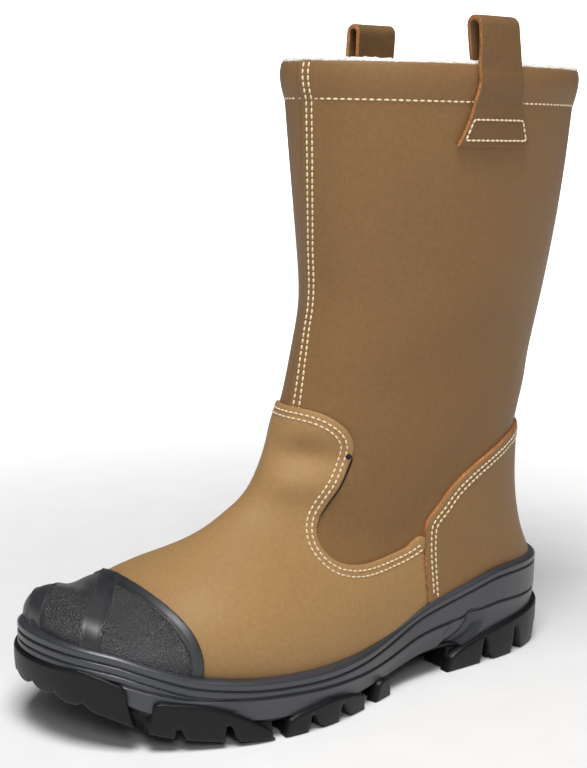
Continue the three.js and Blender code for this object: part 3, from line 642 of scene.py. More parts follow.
def cut_sheet(columns, rows, place, inside, closed, thickness, soft=1.0, tilt=0.0):
    """A sheet on place(u, v, out), kept where inside(u, v) is positive, with a clean cut edge that
    turns down through its thickness. Faces of the cut edge take the second material."""
    bm = bmesh.new()
    bmesh.ops.create_grid(bm, x_segments=columns, y_segments=rows, size=0.5)
    spot_layer = bm.verts.layers.int.new("spot")
    flat = np.array([vert.co[:2] for vert in bm.verts]) + 0.5
    depth = inside(flat[:, 0], flat[:, 1])
    bm.verts.index_update()
    for vert in bm.verts:
        vert[spot_layer] = vert.index
    near = np.zeros(len(flat), bool)
    gone = []
    for face in bm.faces:
        corner = [vert.index for vert in face.verts]
        if depth[corner].max() <= 0:
            gone.append(face)
        else:
            near[corner] = True
    # Kept corners that lie outside the edge are moved on to it.
    snapped = near & (depth < 0)
    places = flat.copy()
    step = 0.25 / max(columns, rows)
    for _ in range(4):
        here = places[snapped]
        now = inside(here[:, 0], here[:, 1])
        slope_u = (inside(here[:, 0] + step, here[:, 1]) - now) / step
        slope_v = (inside(here[:, 0], here[:, 1] + step) - now) / step
        size = np.maximum(slope_u**2 + slope_v**2, 1e-6)
        move = np.stack([slope_u, slope_v], -1) * (-now / size)[:, None]
        limit = np.array([1.6 / columns, 1.6 / rows])
        places[snapped] = here + np.clip(move, -limit, limit)
    bmesh.ops.delete(bm, geom=gone, context="FACES")
    kept = [vert[spot_layer] for vert in bm.verts]
    u = places[kept, 0]
    v = places[kept, 1]
    depth = np.maximum(inside(u, v), 0)
    rounded = thickness - soft * 0.45 * np.clip(1 - depth / soft, 0, 1) ** 2
    points = place(u, v, rounded)
    foot = place(u, v, np.full_like(u, -0.4 - tilt))
    foot_layer = bm.verts.layers.float_vector.new("foot")
    for vert, point, under in zip(bm.verts, points, foot):
        vert.co = point
        vert[foot_layer] = under
    if closed:
        bmesh.ops.remove_doubles(bm, verts=bm.verts, dist=0.02)
    edge_loop = [edge for edge in bm.edges if edge.is_boundary]
    turned = bmesh.ops.extrude_edge_only(bm, edges=edge_loop)["geom"]
    for vert in only(turned, bmesh.types.BMVert):
        vert.co = vert[foot_layer]
    for face in only(turned, bmesh.types.BMFace):
        face.material_index = 1
    bmesh.ops.recalc_face_normals(bm, faces=bm.faces)
    return bm


def laid_on_upper(at, lift):
    """The place of leather that lies on the upper, where at(u, v) gives t and turn."""
    return lambda u, v, out: leather_point(*at(u, v), out + lift)


def within(at, outline, out, over_bed):
    """How far a spot lies inside an outline, as seen from the side, and above the bed."""

    def inside(u, v):
        flat = skin(*at(u, v), np.full_like(u, out))
        above_bed = flat[:, 2] - bed_height(flat[:, 1]) - over_bed
        return np.minimum(depth_inside(outline, flat[:, 1:]), above_bed)

    return inside


vamp_from = 4.3
vamp_span = last_end + 0.95 - vamp_from
counter_from = 3.6
counter_span = 12.4 - counter_from


def vamp_at(u, v):
    return vamp_from + v * vamp_span, 2 * np.pi * (u - 0.5)


def counter_at(u, v):
    return counter_from + v * counter_span, 2 * np.pi * u


vamp_edge = outline_curve(vamp_outline)
vamp_place = laid_on_upper(vamp_at, 0.1)
vamp_inside = within(vamp_at, vamp_edge, leather_thick, 1)
counter_edge = outline_curve(counter_outline)
counter_place = laid_on_upper(counter_at, 0.15)
counter_inside = within(counter_at, counter_edge, leather_thick, 1)

raw_edge = fibre_finish(
    "raw_cut_edge", tint(128, 76, 36), tint(192, 128, 72), (900, 5, 0.7), (0.3, 0.66), (0.75, 0.15),
    (0.0005, 0.8), (120, 0.35, 0.7, 0.4, tint(112, 66, 34)),
)

# A lighter copy of the hull's leather: painted light on the vamp, which faces up to the overhead lamp.
vamp_leather_painted_light = leather_finish("vamp_leather_painted_light", tint(160, 126, 82), tint(146, 113, 72))
counter_leather = leather_finish("counter_leather", tint(136, 105, 67), tint(124, 94, 59))

vamp_bm = cut_sheet(230, 250, vamp_place, vamp_inside, True, leather_thick)
vamp = put("vamp_leather_painted_light", vamp_bm, [vamp_leather_painted_light, raw_edge])
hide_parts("vamp")

counter_bm = cut_sheet(210, 170, counter_place, counter_inside, True, leather_thick + 0.5)
counter = put("counter_leather", counter_bm, [counter_leather, raw_edge])
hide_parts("counter")

# Stitches
# Cream waxed thread, 1.1 mm thick and about eight stitches to the inch, sunk a little at each hole.
# Two rows follow the edges of the vamp and the counter, and one row holds the cuff.

thread = fibre_finish(
    "cream_thread", tint(196, 172, 134), tint(236, 220, 190), (1400, 3), (0.3, 0.7), (0.6, 0.2),
    (0.0002, 0.6),
)
stitch_pitch = 3.1
stitch_length = 2.35
thread_radius = 0.55


def run_along(points):
    """The distance of each point from the first, along the line."""
    return np.concatenate([[0], np.cumsum(np.linalg.norm(np.diff(points, axis=0), axis=1))])


def read_rows(at, index, rows):
    """A table's rows, read between its lines."""
    return np.stack([np.interp(at, index, column) for column in rows.T], -1)


def sew(name, seams, pitch=stitch_pitch, length=stitch_length):
    """Stitches along seams; each seam is a list of points and the outward normals there."""
    bm = bmesh.new()
    size = Matrix.Diagonal((length / 2 + 0.25, thread_radius, thread_radius * 0.95, 1))
    for points, normals in seams:
        run = run_along(points)
        for i in range(int(run[-1] / pitch)):
            hole = (i + 0.5) * pitch
            start = Vector(read_rows(hole - length / 2, run, points))
            stop = Vector(read_rows(hole + length / 2, run, points))
            up = Vector(read_rows(hole, run, normals)).normalized()
            forward = (stop - start).normalized()
            sideways = up.cross(forward).normalized()
            up = forward.cross(sideways)
            place = Matrix((forward, sideways, up)).transposed().to_4x4()
            place.translation = (start + stop) / 2 + up * 0.12
            bmesh.ops.create_uvsphere(bm, u_segments=6, v_segments=5, radius=1, matrix=place @ size)
    return put(name, bm, [thread])


def contour(inside, columns, rows, level):
    """Runs of (u, v) where inside equals a level, traced over a grid."""
    u = np.linspace(0, 1, columns + 1)
    v = np.linspace(0, 1, rows + 1)
    grid_u, grid_v = np.meshgrid(u, v)
    value = inside(grid_u.ravel(), grid_v.ravel()).reshape(grid_u.shape) - level
    links = {}
    spots = {}

    def spot(j, i, upright_edge):
        key = (j, i, upright_edge)
        if key not in spots:
            a = value[j, i]
            b = value[j + 1, i] if upright_edge else value[j, i + 1]
            share = a / (a - b)
            if upright_edge:
                spots[key] = (u[i], v[j] + share / rows)
            else:
                spots[key] = (u[i] + share / columns, v[j])
        return key

    within_level = (value > 0).astype(int)
    busy = within_level[:-1, :-1] + within_level[:-1, 1:] + within_level[1:, :-1] + within_level[1:, 1:]
    for j, i in zip(*np.where((busy > 0) & (busy < 4))):
        cuts = []
        if (value[j, i] > 0) != (value[j, i + 1] > 0):
            cuts.append(spot(j, i, False))
        if (value[j, i + 1] > 0) != (value[j + 1, i + 1] > 0):
            cuts.append(spot(j, i + 1, True))
        if (value[j + 1, i] > 0) != (value[j + 1, i + 1] > 0):
            cuts.append(spot(j + 1, i, False))
        if (value[j, i] > 0) != (value[j + 1, i] > 0):
            cuts.append(spot(j, i, True))
        for a, b in zip(cuts[::2], cuts[1::2]):
            links.setdefault(a, []).append(b)
            links.setdefault(b, []).append(a)
    runs = []
    left = set(links)
    starts = [key for key in links if len(links[key]) == 1] + list(links)
    for start in starts:
        if start not in left:
            continue
        chain = [start]
        left.discard(start)
        while True:
            onward = [key for key in links[chain[-1]] if key in left]
            if not onward:
                break
            chain.append(onward[0])
            left.discard(onward[0])
        if len(chain) > 8:
            runs.append(np.array([spots[key] for key in chain]))
    return runs


def seam_on(place, u, v, out):
    """A seam's points and normals on a sheet."""
    points = place(u, v, np.full_like(u, out))
    lifted = place(u, v, np.full_like(u, out + 1.0))
    normals = lifted - points
    return points, normals / np.maximum(np.linalg.norm(normals, axis=1, keepdims=True), 1e-9)


def smoothed(rows, weights):
    """Each column of a padded table, averaged with these weights."""
    return np.stack([np.convolve(column, weights, "valid") for column in rows.T], -1)


lip_height = 10


def edge_seams(at, place, outline, insets, columns, rows, out, keep=None):
    """Seams that run inside a sheet's outline at each inset, above the sole's lip."""
    seams = []

    def from_outline(u, v):
        flat = skin(*at(u, v), np.full_like(u, leather_thick))
        return depth_inside(outline, flat[:, 1:])

    for inset in insets:
        for run in contour(from_outline, columns, rows, inset):
            run = smoothed(np.pad(run, ((2, 2), (0, 0)), "edge"), np.ones(5) / 5)
            points, normals = seam_on(place, run[:, 0], run[:, 1], out)
            shown = points[:, 2] > bed_height(points[:, 1]) + lip_height
            if keep:
                shown &= keep(points)
            starts = np.flatnonzero(np.diff(np.concatenate([[0], shown.astype(int), [0]])))
            for a, b in zip(starts[::2], starts[1::2]):
                if b - a > 4:
                    seams.append((points[a:b], normals[a:b]))
    return seams


seam_insets = (3.0, 5.7)
vamp_seam_rear = -102
vamp_seam_edge = outline_curve(
    [(0.26, -0.5), (0.26, 0), (0.26, 0.4), (0.26, 0.765), (0.3, 0.722), (0.336, 0.685)] + vamp_outline[5:]
)
vamp_seams = edge_seams(
    vamp_at, vamp_place, vamp_seam_edge, seam_insets, 260, 280, leather_thick,
    lambda points: points[:, 1] < vamp_seam_rear,
)
sew("vamp_stitches", vamp_seams)
sew("counter_stitches", edge_seams(
    counter_at, counter_place, counter_edge, seam_insets, 240, 200, leather_thick + 0.5,
))

# The vamp's rear edge stands off the leg below a small punched hole, and leaves a slit. Both are drawn
# as a near-black strip and disc on the leather: painted shade where the gap and the hole lie in shadow.
shade, shade_shader, shade_wire = new_finish("painted_shade_gap")
# Near-black brown: painted shade in the slit and the hole.
feed(shade_shader, "Base Color", shade_wire.cloud(300).blend(tint(20, 14, 10), tint(34, 24, 17)))
shade_shader.inputs["Roughness"].default_value = 0.9
slit_low = 92
slit_high = 121
slit_rear = -140
slit_width = 1.7
hole_centre = [27.9, -148.2, 122.0]


def beside_slit(points):
    x, y, z = points.T
    return (z > slit_low) & (z < slit_high) & (x > 0) & (y < slit_rear)


slit_points, slit_up = max(edge_seams(
    vamp_at, vamp_place, vamp_edge, (-0.75,), 260, 280, 0.12, beside_slit,
), key=lambda seam: len(seam[0]))
if slit_points[0, 2] < slit_points[-1, 2]:
    slit_points, slit_up = slit_points[::-1], slit_up[::-1]
slit_ahead = np.gradient(slit_points, axis=0)
slit_side = np.cross(slit_ahead, slit_up)
slit_side /= np.linalg.norm(slit_side, axis=1, keepdims=True)


def slit_place(u, v):
    """A strip along the slit, narrower towards its lower end."""
    at = v * (len(slit_points) - 1)
    index = np.arange(len(slit_points))
    centre, side, up = (read_rows(at, index, rows) for rows in (slit_points, slit_side, slit_up))
    half = (slit_width - 0.2) / 2 * (1 - v) ** 0.6 + 0.1
    return centre + side * ((u - 0.5) * 2 * half)[:, None] + up * (0.25 * np.sin(np.pi * u))[:, None]


slit_bm = sheet_mesh(4, 50, slit_place, False)
bmesh.ops.recalc_face_normals(slit_bm, faces=slit_bm.faces)
hole_u, hole_v = (grid.ravel() for grid in np.meshgrid(np.linspace(0.5, 0.8, 121), np.linspace(0, 0.5, 161)))
hole_face = vamp_place(hole_u, hole_v, np.full(hole_u.size, leather_thick))
hole_at = [int(np.argmin(np.linalg.norm(hole_face - hole_centre, axis=1)))]
hole_spot, hole_up = seam_on(vamp_place, hole_u[hole_at], hole_v[hole_at], leather_thick)
hole_turn = Vector(hole_up[0]).to_track_quat("Z", "Y").to_matrix().to_4x4()
hole_matrix = Matrix.Translation(Vector(hole_spot[0])) @ hole_turn @ Matrix.Diagonal((1.7, 1.5, 0.35, 1))
# A flat dark disc for the punched hole: painted shade.
bmesh.ops.create_uvsphere(slit_bm, u_segments=16, v_segments=8, radius=1, matrix=hole_matrix)
put("vamp_gap_and_hole_painted_shade", slit_bm, [shade])

cuff_turn = np.linspace(0, 2 * np.pi, 260)
cuff_t = np.ones_like(cuff_turn)
cuff_points = leather_point(cuff_t, cuff_turn, np.zeros_like(cuff_turn))
cuff_above = leather_point(cuff_t, cuff_turn, np.ones_like(cuff_turn))
sew("cuff_stitches", [(cuff_points, cuff_above - cuff_points)], 3.5, 2.6)

# Lapped seams of the leg
# The outer half of the hull lies over the inner half down the front and the back of the leg. Its cut
# edge faces the inner side, and two rows of stitches hold it.

lap_width = 14
lap_step = 1.0
front_lap_up = [1.06, 1, 0.9, 0.75, 0.62, 0.5, 0.46]
front_lap_side = [9.8, 9.6, 8, 4.6, 4, 8, 9]
lap_top = collar_height - cuff_depth


def turn_at(t, x, front):
    """The turn at which the hull has this x, at its front or its back."""
    low = np.full_like(t, -0.9 if front else np.pi - 0.9)
    high = np.full_like(t, 0.9 if front else np.pi + 0.9)
    for _ in range(26):
        middle_turn = (low + high) / 2
        side = skin(t, middle_turn, np.zeros_like(t))[:, 0]
        above_x = side > x if front else side < x
        high = np.where(above_x, middle_turn, high)
        low = np.where(above_x, low, middle_turn)
    return (low + high) / 2


def lap_place(front, t_from, t_to):
    def place(u, v, out):
        t = t_from + (t_to - t_from) * v
        if front:
            height = skin(t, np.zeros_like(t), np.zeros_like(t))[:, 2]
            centre = np.interp(height / lap_top, front_lap_up[::-1], front_lap_side[::-1])
        else:
            centre = np.zeros_like(t)
        turn = turn_at(t, centre + (u - 0.5) * lap_width, front)
        fade = np.clip((1 - u) / 0.85, 0, 1) ** 0.8
        return leather_point(t, turn, np.maximum(out, -0.3) * fade - 0.25 * (1 - fade))

    return place


def lap_inside(u, v):
    """A lap is trimmed only along its sewn side, so this is the distance from there."""
    return np.minimum(u * lap_width + 0.001, 40.0)


for lap_name, lap_front, lap_to in [("front_lap", True, 6.25), ("back_lap", False, 5.9)]:
    lap = lap_place(lap_front, 0.03, lap_to)
    lap_bm = cut_sheet(14, 150, lap, lap_inside, False, lap_step, 0.5)
    put(lap_name, lap_bm, [hull_leather, raw_edge])
    lap_v = np.linspace(0.0, 1, 90)
    lap_seams = [seam_on(lap, np.full_like(lap_v, share), lap_v, lap_step) for share in (0.3, 0.52)]
    sew(lap_name + "_stitches", lap_seams)

# Toe cap
# A moulded rubber scuff cap, pebbled, with a smooth border along its rear edge and smooth bands that
# run from the sole up over the toe between thin raised lines. It is bonded over the vamp.

cap_outline = [
    (0.8, -0.5), (0.8, 0), (0.8, 0.28), (0.801, 0.4), (0.812, 0.52), (0.838, 0.64), (0.88, 0.8), (0.93, 0.86),
    (1.1, 0.9), (1.3, 0.9), (1.3, -0.5),
]
cap_thick = 2.2
cap_edge = outline_curve(cap_outline)
cap_from = 12.5
cap_span = last_end + 0.95 - cap_from
# Middle lines of the two bands, seen from above.
cap_bands = [((-14.4, -261.3), (23.0, -288.9)), ((-37.6, -279.1), (-10.4, -302.3))]


def off_band(points):
    """Distance from the nearest band's middle line, seen from above."""
    best = np.full(len(points), 1e9)
    for start, stop in cap_bands:
        run = np.array(stop) - start
        aside = np.array([-run[1], run[0]]) / np.linalg.norm(run)
        best = np.minimum(best, np.abs((points[:, :2] - start) @ aside))
    return best


def cap_at(u, v):
    return cap_from + v * cap_span, np.pi * 1.5 * (u - 0.5)


def cap_place(u, v, out):
    """The cap's face: bands with a ridge on either side, a border along the rear edge, and a dome."""
    face = skin(*cap_at(u, v), np.full_like(u, leather_thick + cap_thick))
    off = off_band(face)
    raised = 0.15 * np.clip((4.2 - off) / 0.6, 0, 1)
    raised += 0.65 * np.exp(-(((off - 4.6) / 0.55) ** 2))
    inset = depth_inside(cap_edge, face[:, 1:])
    raised += 0.3 * np.clip((4.6 - inset) / 0.7, 0, 1)
    raised -= 0.5 * np.exp(-(((inset - 5.3) / 0.6) ** 2))
    raised = np.minimum(raised, 1.2)
    dome = 3.0 * np.exp(-(((face[:, 0] + 17) / 20) ** 2) - ((face[:, 1] + 283) / 13) ** 2)
    raised = raised + dome * np.clip((face[:, 2] - 46) / 8, 0, 1)
    thinned = 0.5 + 0.5 * np.clip(inset / 10, 0, 1)
    lifted = np.where(out > 0.5, out * thinned + raised, out)
    return skin(*cap_at(u, v), leather_thick + 0.1 + lifted)


pebbled, pebbled_shader, pebbled_wire = new_finish("pebbled_rubber")
pebble = pebbled_wire.node(
    "TexVoronoi",
    {"feature": "SMOOTH_F1"},
    {"Vector": pebbled_wire.node("TexCoord", take=3), "Scale": 1500, "Smoothness": 0.3},
)
pebble_lump = pebbled_wire.cloud(1200, 4, 0.6)
pebbled_smooth = pebbled_wire.node("Attribute", {"attribute_name": "plain"}, take=2)
pebble_height = (pebble_lump * 0.7 + (1 - pebble) * 0.5) * (1 - pebbled_smooth)
pebbled_dust = pebbled_wire.cloud(45, 4).between(0.35, 0.7)
feed(pebbled_shader, "Base Color", pebbled_dust.blend(tint(28, 29, 31), tint(40, 41, 44)))
feed(pebbled_shader, "Roughness", 0.26 + pebble_lump * 0.2 + pebbled_smooth * 0.14)
pebbled_shader.inputs["Specular IOR Level"].default_value = 0.8
feed(pebbled_shader, "Normal", bump(pebbled_wire, pebble_height, 0.001, 0.9))

cap_inside = within(cap_at, cap_edge, leather_thick + cap_thick, lip_height - 3)

cap_bm = cut_sheet(240, 150, cap_place, cap_inside, False, cap_thick, 1.4)
plain_layer = cap_bm.verts.layers.float.new("plain")
cap_points = np.array([vert.co[:] for vert in cap_bm.verts])
cap_inset = depth_inside(cap_edge, cap_points[:, 1:])
for vert, inset, off in zip(cap_bm.verts, cap_inset, off_band(cap_points)):
    vert[plain_layer] = 1.0 if inset < 5.2 or off < 5.0 else 0.0
cap = put("rubber_toe_cap", cap_bm, [pebbled, pebbled])
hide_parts("toe_cap")

# Pull loops
# Leather straps folded over the collar and sewn down in a long box of stitches. The fold stands up
# as a narrow loop, the outer end widens towards its seam, and all cut edges are raw.

strap_thick = 2.6
strap_top_width = 25
strap_foot_width = 46
strap_rise = 23
strap_drop = 39
strap_tuck = 26
strap_set_back = 79
strap_lean = 8
box_stitch_height = 9.5

strap_leather = leather_finish("strap_leather", tint(114, 86, 54), tint(100, 74, 46), 0.8)


def strap_path(side):
    """Stops of a strap from its hidden end to its sewn foot, as x, z and width."""
    t = np.linspace(0.0, 4.0, 400)
    wall = skin(t, np.full_like(t, np.pi / 2 * (1 if side > 0 else 3)), np.zeros_like(t))
    def wall_x(z):
        return float(np.interp(-z, -wall[:, 2], np.abs(wall[:, 0])))
    half = strap_thick / 2
    rim_x = wall_x(collar_height - 0.3)
    loop_half = half + 2.3
    loop_top = collar_height + strap_rise - half - loop_half
    centre = rim_x - hull_wall / 2
    stops = []
    for i in range(3):
        z = collar_height - strap_tuck + i * (strap_tuck - 4) / 2
        stops.append((wall_x(z) - hull_wall - 0.3 - half - cuff_swell, z, strap_top_width))
    stops.append((centre - loop_half, collar_height + 6, strap_top_width))
    for i in range(9):
        angle = math.pi - math.pi * i / 8
        x = centre + (loop_half + 0.5) * math.cos(angle)
        stops.append((x, loop_top + loop_half * math.sin(angle), strap_top_width))
    stops.append((centre + loop_half + 0.4, collar_height + 6, strap_top_width * 1.04))
    for i in range(8):
        share = i / 7
        z = collar_height - 2 - share * (strap_drop - 2)
        width = strap_top_width * 1.08 + (strap_foot_width - strap_top_width * 1.08) * share**2
        stops.append((wall_x(z) + 0.5 + half, z, width))
    return np.array(stops)


def strap_place(side, lean):
    """The strap's middle layer as place(u, v, out), from its hidden end to its foot, and its length."""
    stops = strap_path(side)
    run = run_along(stops[:, :2])
    curves = [track(run, stops[:, k]) for k in range(3)]

    def place(u, v, out):
        s = v * run[-1]
        x, z, width = (curve(s) for curve in curves)
        dx = curves[0](s + 0.4) - curves[0](s - 0.4)
        dz = curves[1](s + 0.4) - curves[1](s - 0.4)
        size = np.hypot(dx, dz)
        y = (u - 0.5) * width - 0.12 * (width - strap_top_width)
        bow = (collar_width / 2) * (1 - np.sqrt(1 - np.clip(2 * y / collar_length, -0.9, 0.9) ** 2))
        wave = 0.35 * np.sin(y * 0.21 + s * 0.05) * np.clip((z - collar_height) / 10, 0, 1)
        forward = lean * (z - (collar_height - strap_drop)) / (strap_drop + strap_rise)
        out_x = x - bow + wave - dz / size * out
        return np.stack([side * out_x, y - strap_set_back - forward, z + dx / size * out], -1)

    return place, run[-1]


for strap_name, strap_side, strap_tip in [("pull_loop_outer", 1, strap_lean), ("pull_loop_inner", -1, 0)]:
    strap, strap_run = strap_place(strap_side, strap_tip)
    strap_bm = sheet_mesh(26, 110, lambda u, v: strap(u, v, np.zeros_like(u)), False)
    bmesh.ops.recalc_face_normals(strap_bm, faces=strap_bm.faces)
    strap_piece = put(strap_name + "_leather", strap_bm, [strap_leather, raw_edge])
    thick = strap_piece.modifiers.new("thickness", "SOLIDIFY")
    thick.thickness = strap_thick / 1000
    thick.offset = 0
    thick.material_offset_rim = 1
    soft_edge = strap_piece.modifiers.new("soft_edge", "BEVEL")
    soft_edge.width = 0.0004
    soft_edge.segments = 2
    soft_edge.limit_method = "ANGLE"
    soft_edge.angle_limit = math.radians(50)
    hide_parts(strap_name)
    box_v = 1 - (box_stitch_height + 3.4) / strap_run
    low_v = 1 - 3.0 / strap_run
    low_u = 2.0 / strap_foot_width
    high_u = 1 - low_u
    corners = np.array([(low_u, low_v), (low_u, box_v), (high_u, box_v), (high_u, low_v), (low_u, low_v)])
    box = np.vstack([np.linspace(a, b, 12)[:-1] for a, b in zip(corners, corners[1:])] + [corners[:1]])
    sew(strap_name + "_stitches", [seam_on(strap, box[:, 0], box[:, 1], strap_thick / 2)], 2.9, 2.3)

# Insole
# A loose felt-topped footbed, 4 mm thick and cut to the inside of the upper. It lies on the bed of the
# sole, where the upper and its lining end.

felt = fibre_finish(
    "grey_felt", tint(72, 68, 62), tint(104, 99, 92), (700, 5, 0.7), (0.3, 0.7), (0.85, 0.1), (0.0006, 0.8),
)
# Share of the sole's length, outer and inner half-widths as shares of the width there, how far that
# width is the ball's and not the heel's, and the share of the toe's sideways shift.

feather_rows = [
    (0.021, 0, 0, 0, 0), (0.03, 0.16, 0.16, 0, 0), (0.05, 0.272, 0.27, 0, 0), (0.09, 0.378, 0.365, 0, 0),
    (0.147, 0.442, 0.416, 0, 0), (0.22, 0.461, 0.426, 0, 0), (0.31, 0.476, 0.4, 0, 0),
    (0.409, 0.453, 0.324, 0.4, 0), (0.507, 0.495, 0.31, 0.8, 0), (0.588, 0.527, 0.36, 1, 0),
    (0.66, 0.534, 0.43, 1, 0), (0.725, 0.515, 0.476, 1, 0), (0.8, 0.463, 0.481, 1, 0.14),
    (0.866, 0.414, 0.418, 1, 0.43), (0.915, 0.35, 0.302, 1, 0.71), (0.951, 0.255, 0.19, 1, 0.89),
    (0.968, 0.145, 0.115, 1, 0.97), (0.976, 0, 0, 1, 1),
]


def feather_line():
    """The edge where the upper meets the sole, evenly spaced round the boot from the heel's back by
    its outer side, with the outward direction at each point."""
    rows = np.array(feather_rows)
    start = rows[0, 0]
    span = rows[-1, 0] - start
    angle = np.arccos(np.clip(1 - 2 * (rows[:, 0] - start) / span, -1, 1))
    width = heel_width + rows[:, 3] * (ball_width - heel_width)
    outer = track(angle, rows[:, 1] * width)
    inner = track(angle, rows[:, 2] * width)
    middle = track(angle, -rows[:, 4] * toe_shift)
    half = np.linspace(0, np.pi, 401)
    y = -(start + span * (1 - np.cos(half)) / 2) * sole_length
    right = np.stack([middle(half) + outer(half), y], -1)
    left = np.stack([middle(half) - inner(half), y], -1)
    ring = np.concatenate([right[:-1], left[::-1]])
    run = run_along(ring)
    points = read_rows(np.linspace(0, run[-1], 1201)[:-1], run, ring)
    blur = 18
    points = smoothed(np.vstack([points[-blur:], points, points[:blur]]), bell(blur))
    forward = np.roll(points, -3, axis=0) - np.roll(points, 3, axis=0)
    forward /= np.linalg.norm(forward, axis=1, keepdims=True)
    outward = np.stack([-forward[:, 1], forward[:, 0]], -1)
    return points, outward, run[-1]


feather, feather_out, feather_run = feather_line()


def sole_plan(u, out):
    """Plan point at a share u of the way round, a distance outside the feather edge."""
    at = (np.asarray(u) % 1) * len(feather)
    index = np.arange(-1, len(feather) + 2)
    point = read_rows(at, index, feather[index % len(feather)])
    outward = read_rows(at, index, feather_out[index % len(feather)])
    return point + outward * np.asarray(out)[..., None]


insole_thick = 4
insole_spine = (-262, -36)


def insole_place(u, v):
    """A slab that rises at its edge, and whose top closes on the middle line."""
    plan = sole_plan(u, -hull_wall - 0.6 - 3 * np.clip(v - 0.2, 0, 1) ** 2)
    shrink = np.clip((v - 0.3) / 0.7, 0, 1)[:, None]
    spine = np.stack([-0.02 * plan[:, 0], np.clip(plan[:, 1], *insole_spine)], -1)
    plan = plan + (spine - plan) * shrink * 0.999
    z = bed_height(plan[:, 1]) + 0.3 + insole_thick * np.clip(v / 0.12, 0, 1) ** 0.5
    return np.stack([plan[:, 0], plan[:, 1], z], -1)


insole_bm = sheet_mesh(160, 26, insole_place, True)
bmesh.ops.recalc_face_normals(insole_bm, faces=insole_bm.faces)
insole = put("felt_insole", insole_bm, [felt])
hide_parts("insole")

# Midsole
# Dark grey polyurethane poured against the upper. Its rolled lip stands up round the leather, with
# lines of grooves below, three at the toe and two along the side, and a shallow recess at the heel.

fit_gap = 0.3
lip_stand = 4.2
sole_edge = leather_thick + 2 * fit_gap + lip_stand
lug_depth = 7.5
heel_lug_depth = 9
plate_thick = 3
toe_spring = 22
arch_rise = 5
spring_line = track(height_along, [toe_spring * share for share in spring_share])
arch_line = track(height_along, [arch_rise * share for share in arch_share])
groove_along = [0, 0.12, 0.24, 0.34, 0.43, 0.55, 0.66, 0.75, 0.83, 0.9, 1]
groove_drop = [20, 19.5, 17, 14, 12, 9, 8, 8.4, 10.5, 12.4, 13]
groove_line = track(groove_along, groove_drop)


def ground_height(y):
    """The tread's lowest face, which springs off the floor at the toe."""
    return np.maximum(spring_line(along_sole(y)), 0)


def tread_height(y):
    """The lower face of the rubber plate, above the lugs and the arch."""
    share = along_sole(y)
    heel = np.clip((0.38 - share) / 0.1, 0, 1)
    return ground_height(y) + lug_depth + (heel_lug_depth - lug_depth) * heel + arch_line(share)


def groove(drop, at, half, depth):
    return -depth * np.exp(-(((drop - at) / half) ** 2))


def midsole_out(y, drop):
    """How far the midsole's side stands outside the feather edge, by the drop below its lip."""
    toe = np.clip((-y - 228) / 22, 0, 1)
    long_groove = groove_line(along_sole(y))
    out = sole_edge - 1.6 * np.clip(1 - drop / 1.6, 0, 1) ** 2
    out = out + groove(drop, 4.5, 0.55, 1.15)
    out = out + groove(drop, long_groove, 0.75, 1.3)
    out = out + groove(drop, 8.6, 0.5, 0.95) * toe
    out = out - 0.9 * np.clip((drop - long_groove) / 6, 0, 1)
    bowl = np.clip(1.25 - np.hypot((y + 80) / 15, (drop - 23) / 8), 0, 0.5) * 2
    mound = np.clip(1.3 - np.hypot((y + 89) / 13, (drop - 19) / 6), 0, 0.4) * 2.5
    return out - 3.4 * np.clip(bowl - 0.8 * mound, 0, 1)


def midsole_place(u, v):
    """The lip's rounded top for the first tenth of v, and the wall below it for the rest."""
    base = sole_plan(u, np.full_like(u, sole_edge))
    top = bed_height(base[:, 1]) + lip_height
    low = tread_height(base[:, 1]) + plate_thick - 0.6
    drop = np.clip((v - 0.1) / 0.9, 0, 1) * (top - low)
    over = np.clip((0.1 - v) / 0.1, 0, 1)
    plan = sole_plan(u, midsole_out(base[:, 1], drop) - 6.4 * over)
    z = np.where(over > 0, top + 0.25 * np.sin(np.pi * over), top - drop)
    return np.stack([plan[:, 0], plan[:, 1], z], -1)


def moulded_finish(name, dark, light, clouds, grains, rough, depth, specular):
    """Moulded foam or rubber: a clouded satin face with a fine grain, both in lumps to the metre."""
    material, shader, wire = new_finish(name)
    grain = wire.cloud(grains, 4, 0.6)
    feed(shader, "Base Color", wire.cloud(clouds, 4).between(0.3, 0.7).blend(dark, light))
    feed(shader, "Roughness", rough[0] + grain * rough[1])
    shader.inputs["Specular IOR Level"].default_value = specular
    feed(shader, "Normal", bump(wire, grain, depth, 0.5))
    return material


foam = moulded_finish("grey_foam", tint(42, 44, 47), tint(53, 55, 60), 22, 900, (0.28, 0.14), 0.00018, 0.7)

midsole_bm = sheet_mesh(520, 120, midsole_place, True)
bmesh.ops.recalc_face_normals(midsole_bm, faces=midsole_bm.faces)
midsole = put("foam_midsole", midsole_bm, [foam])
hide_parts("midsole")

# Outsole
# Black nitrile rubber: a plate, deep lugs in rows with channels along the tread, and side panels
# that rise over the midsole with arched tops. Slits between the lugs run up into the panels.

panel_stand = 1.8
panel_thick = 2.4
panel_rise = 15
# Outlines of the five panels, as shares of the sole's length and of the panels' rise.
panel_rows = [
    [(1.3, 2.5), (1.0, 2.55), (0.965, 2.6), (0.945, 2.46), (0.925, 2.26), (0.916, 2.16), (0.912, 1.96),
     (0.912, -1), (1.3, -1)],
    [(0.878, -1), (0.878, 1.4), (0.874, 1.62), (0.85, 1.6), (0.81, 1.47), (0.758, 1.08), (0.71, 0.5),
     (0.7, 0.3), (0.695, -1)],
    [(0.672, -1), (0.671, 0.5), (0.66, 0.66), (0.635, 0.78), (0.59, 0.88), (0.545, 0.78), (0.515, 0.58),
     (0.508, 0.4), (0.506, -1)],
    [(0.472, -1), (0.469, 0.55), (0.454, 0.72), (0.438, 0.55), (0.434, -1)],
    [(0.288, -1), (0.286, 0.45), (0.278, 0.62), (0.25, 0.85), (0.155, 1.28), (0.06, 1.45), (0, 1.5),
     (-0.3, 1.5), (-0.3, -1)],
]
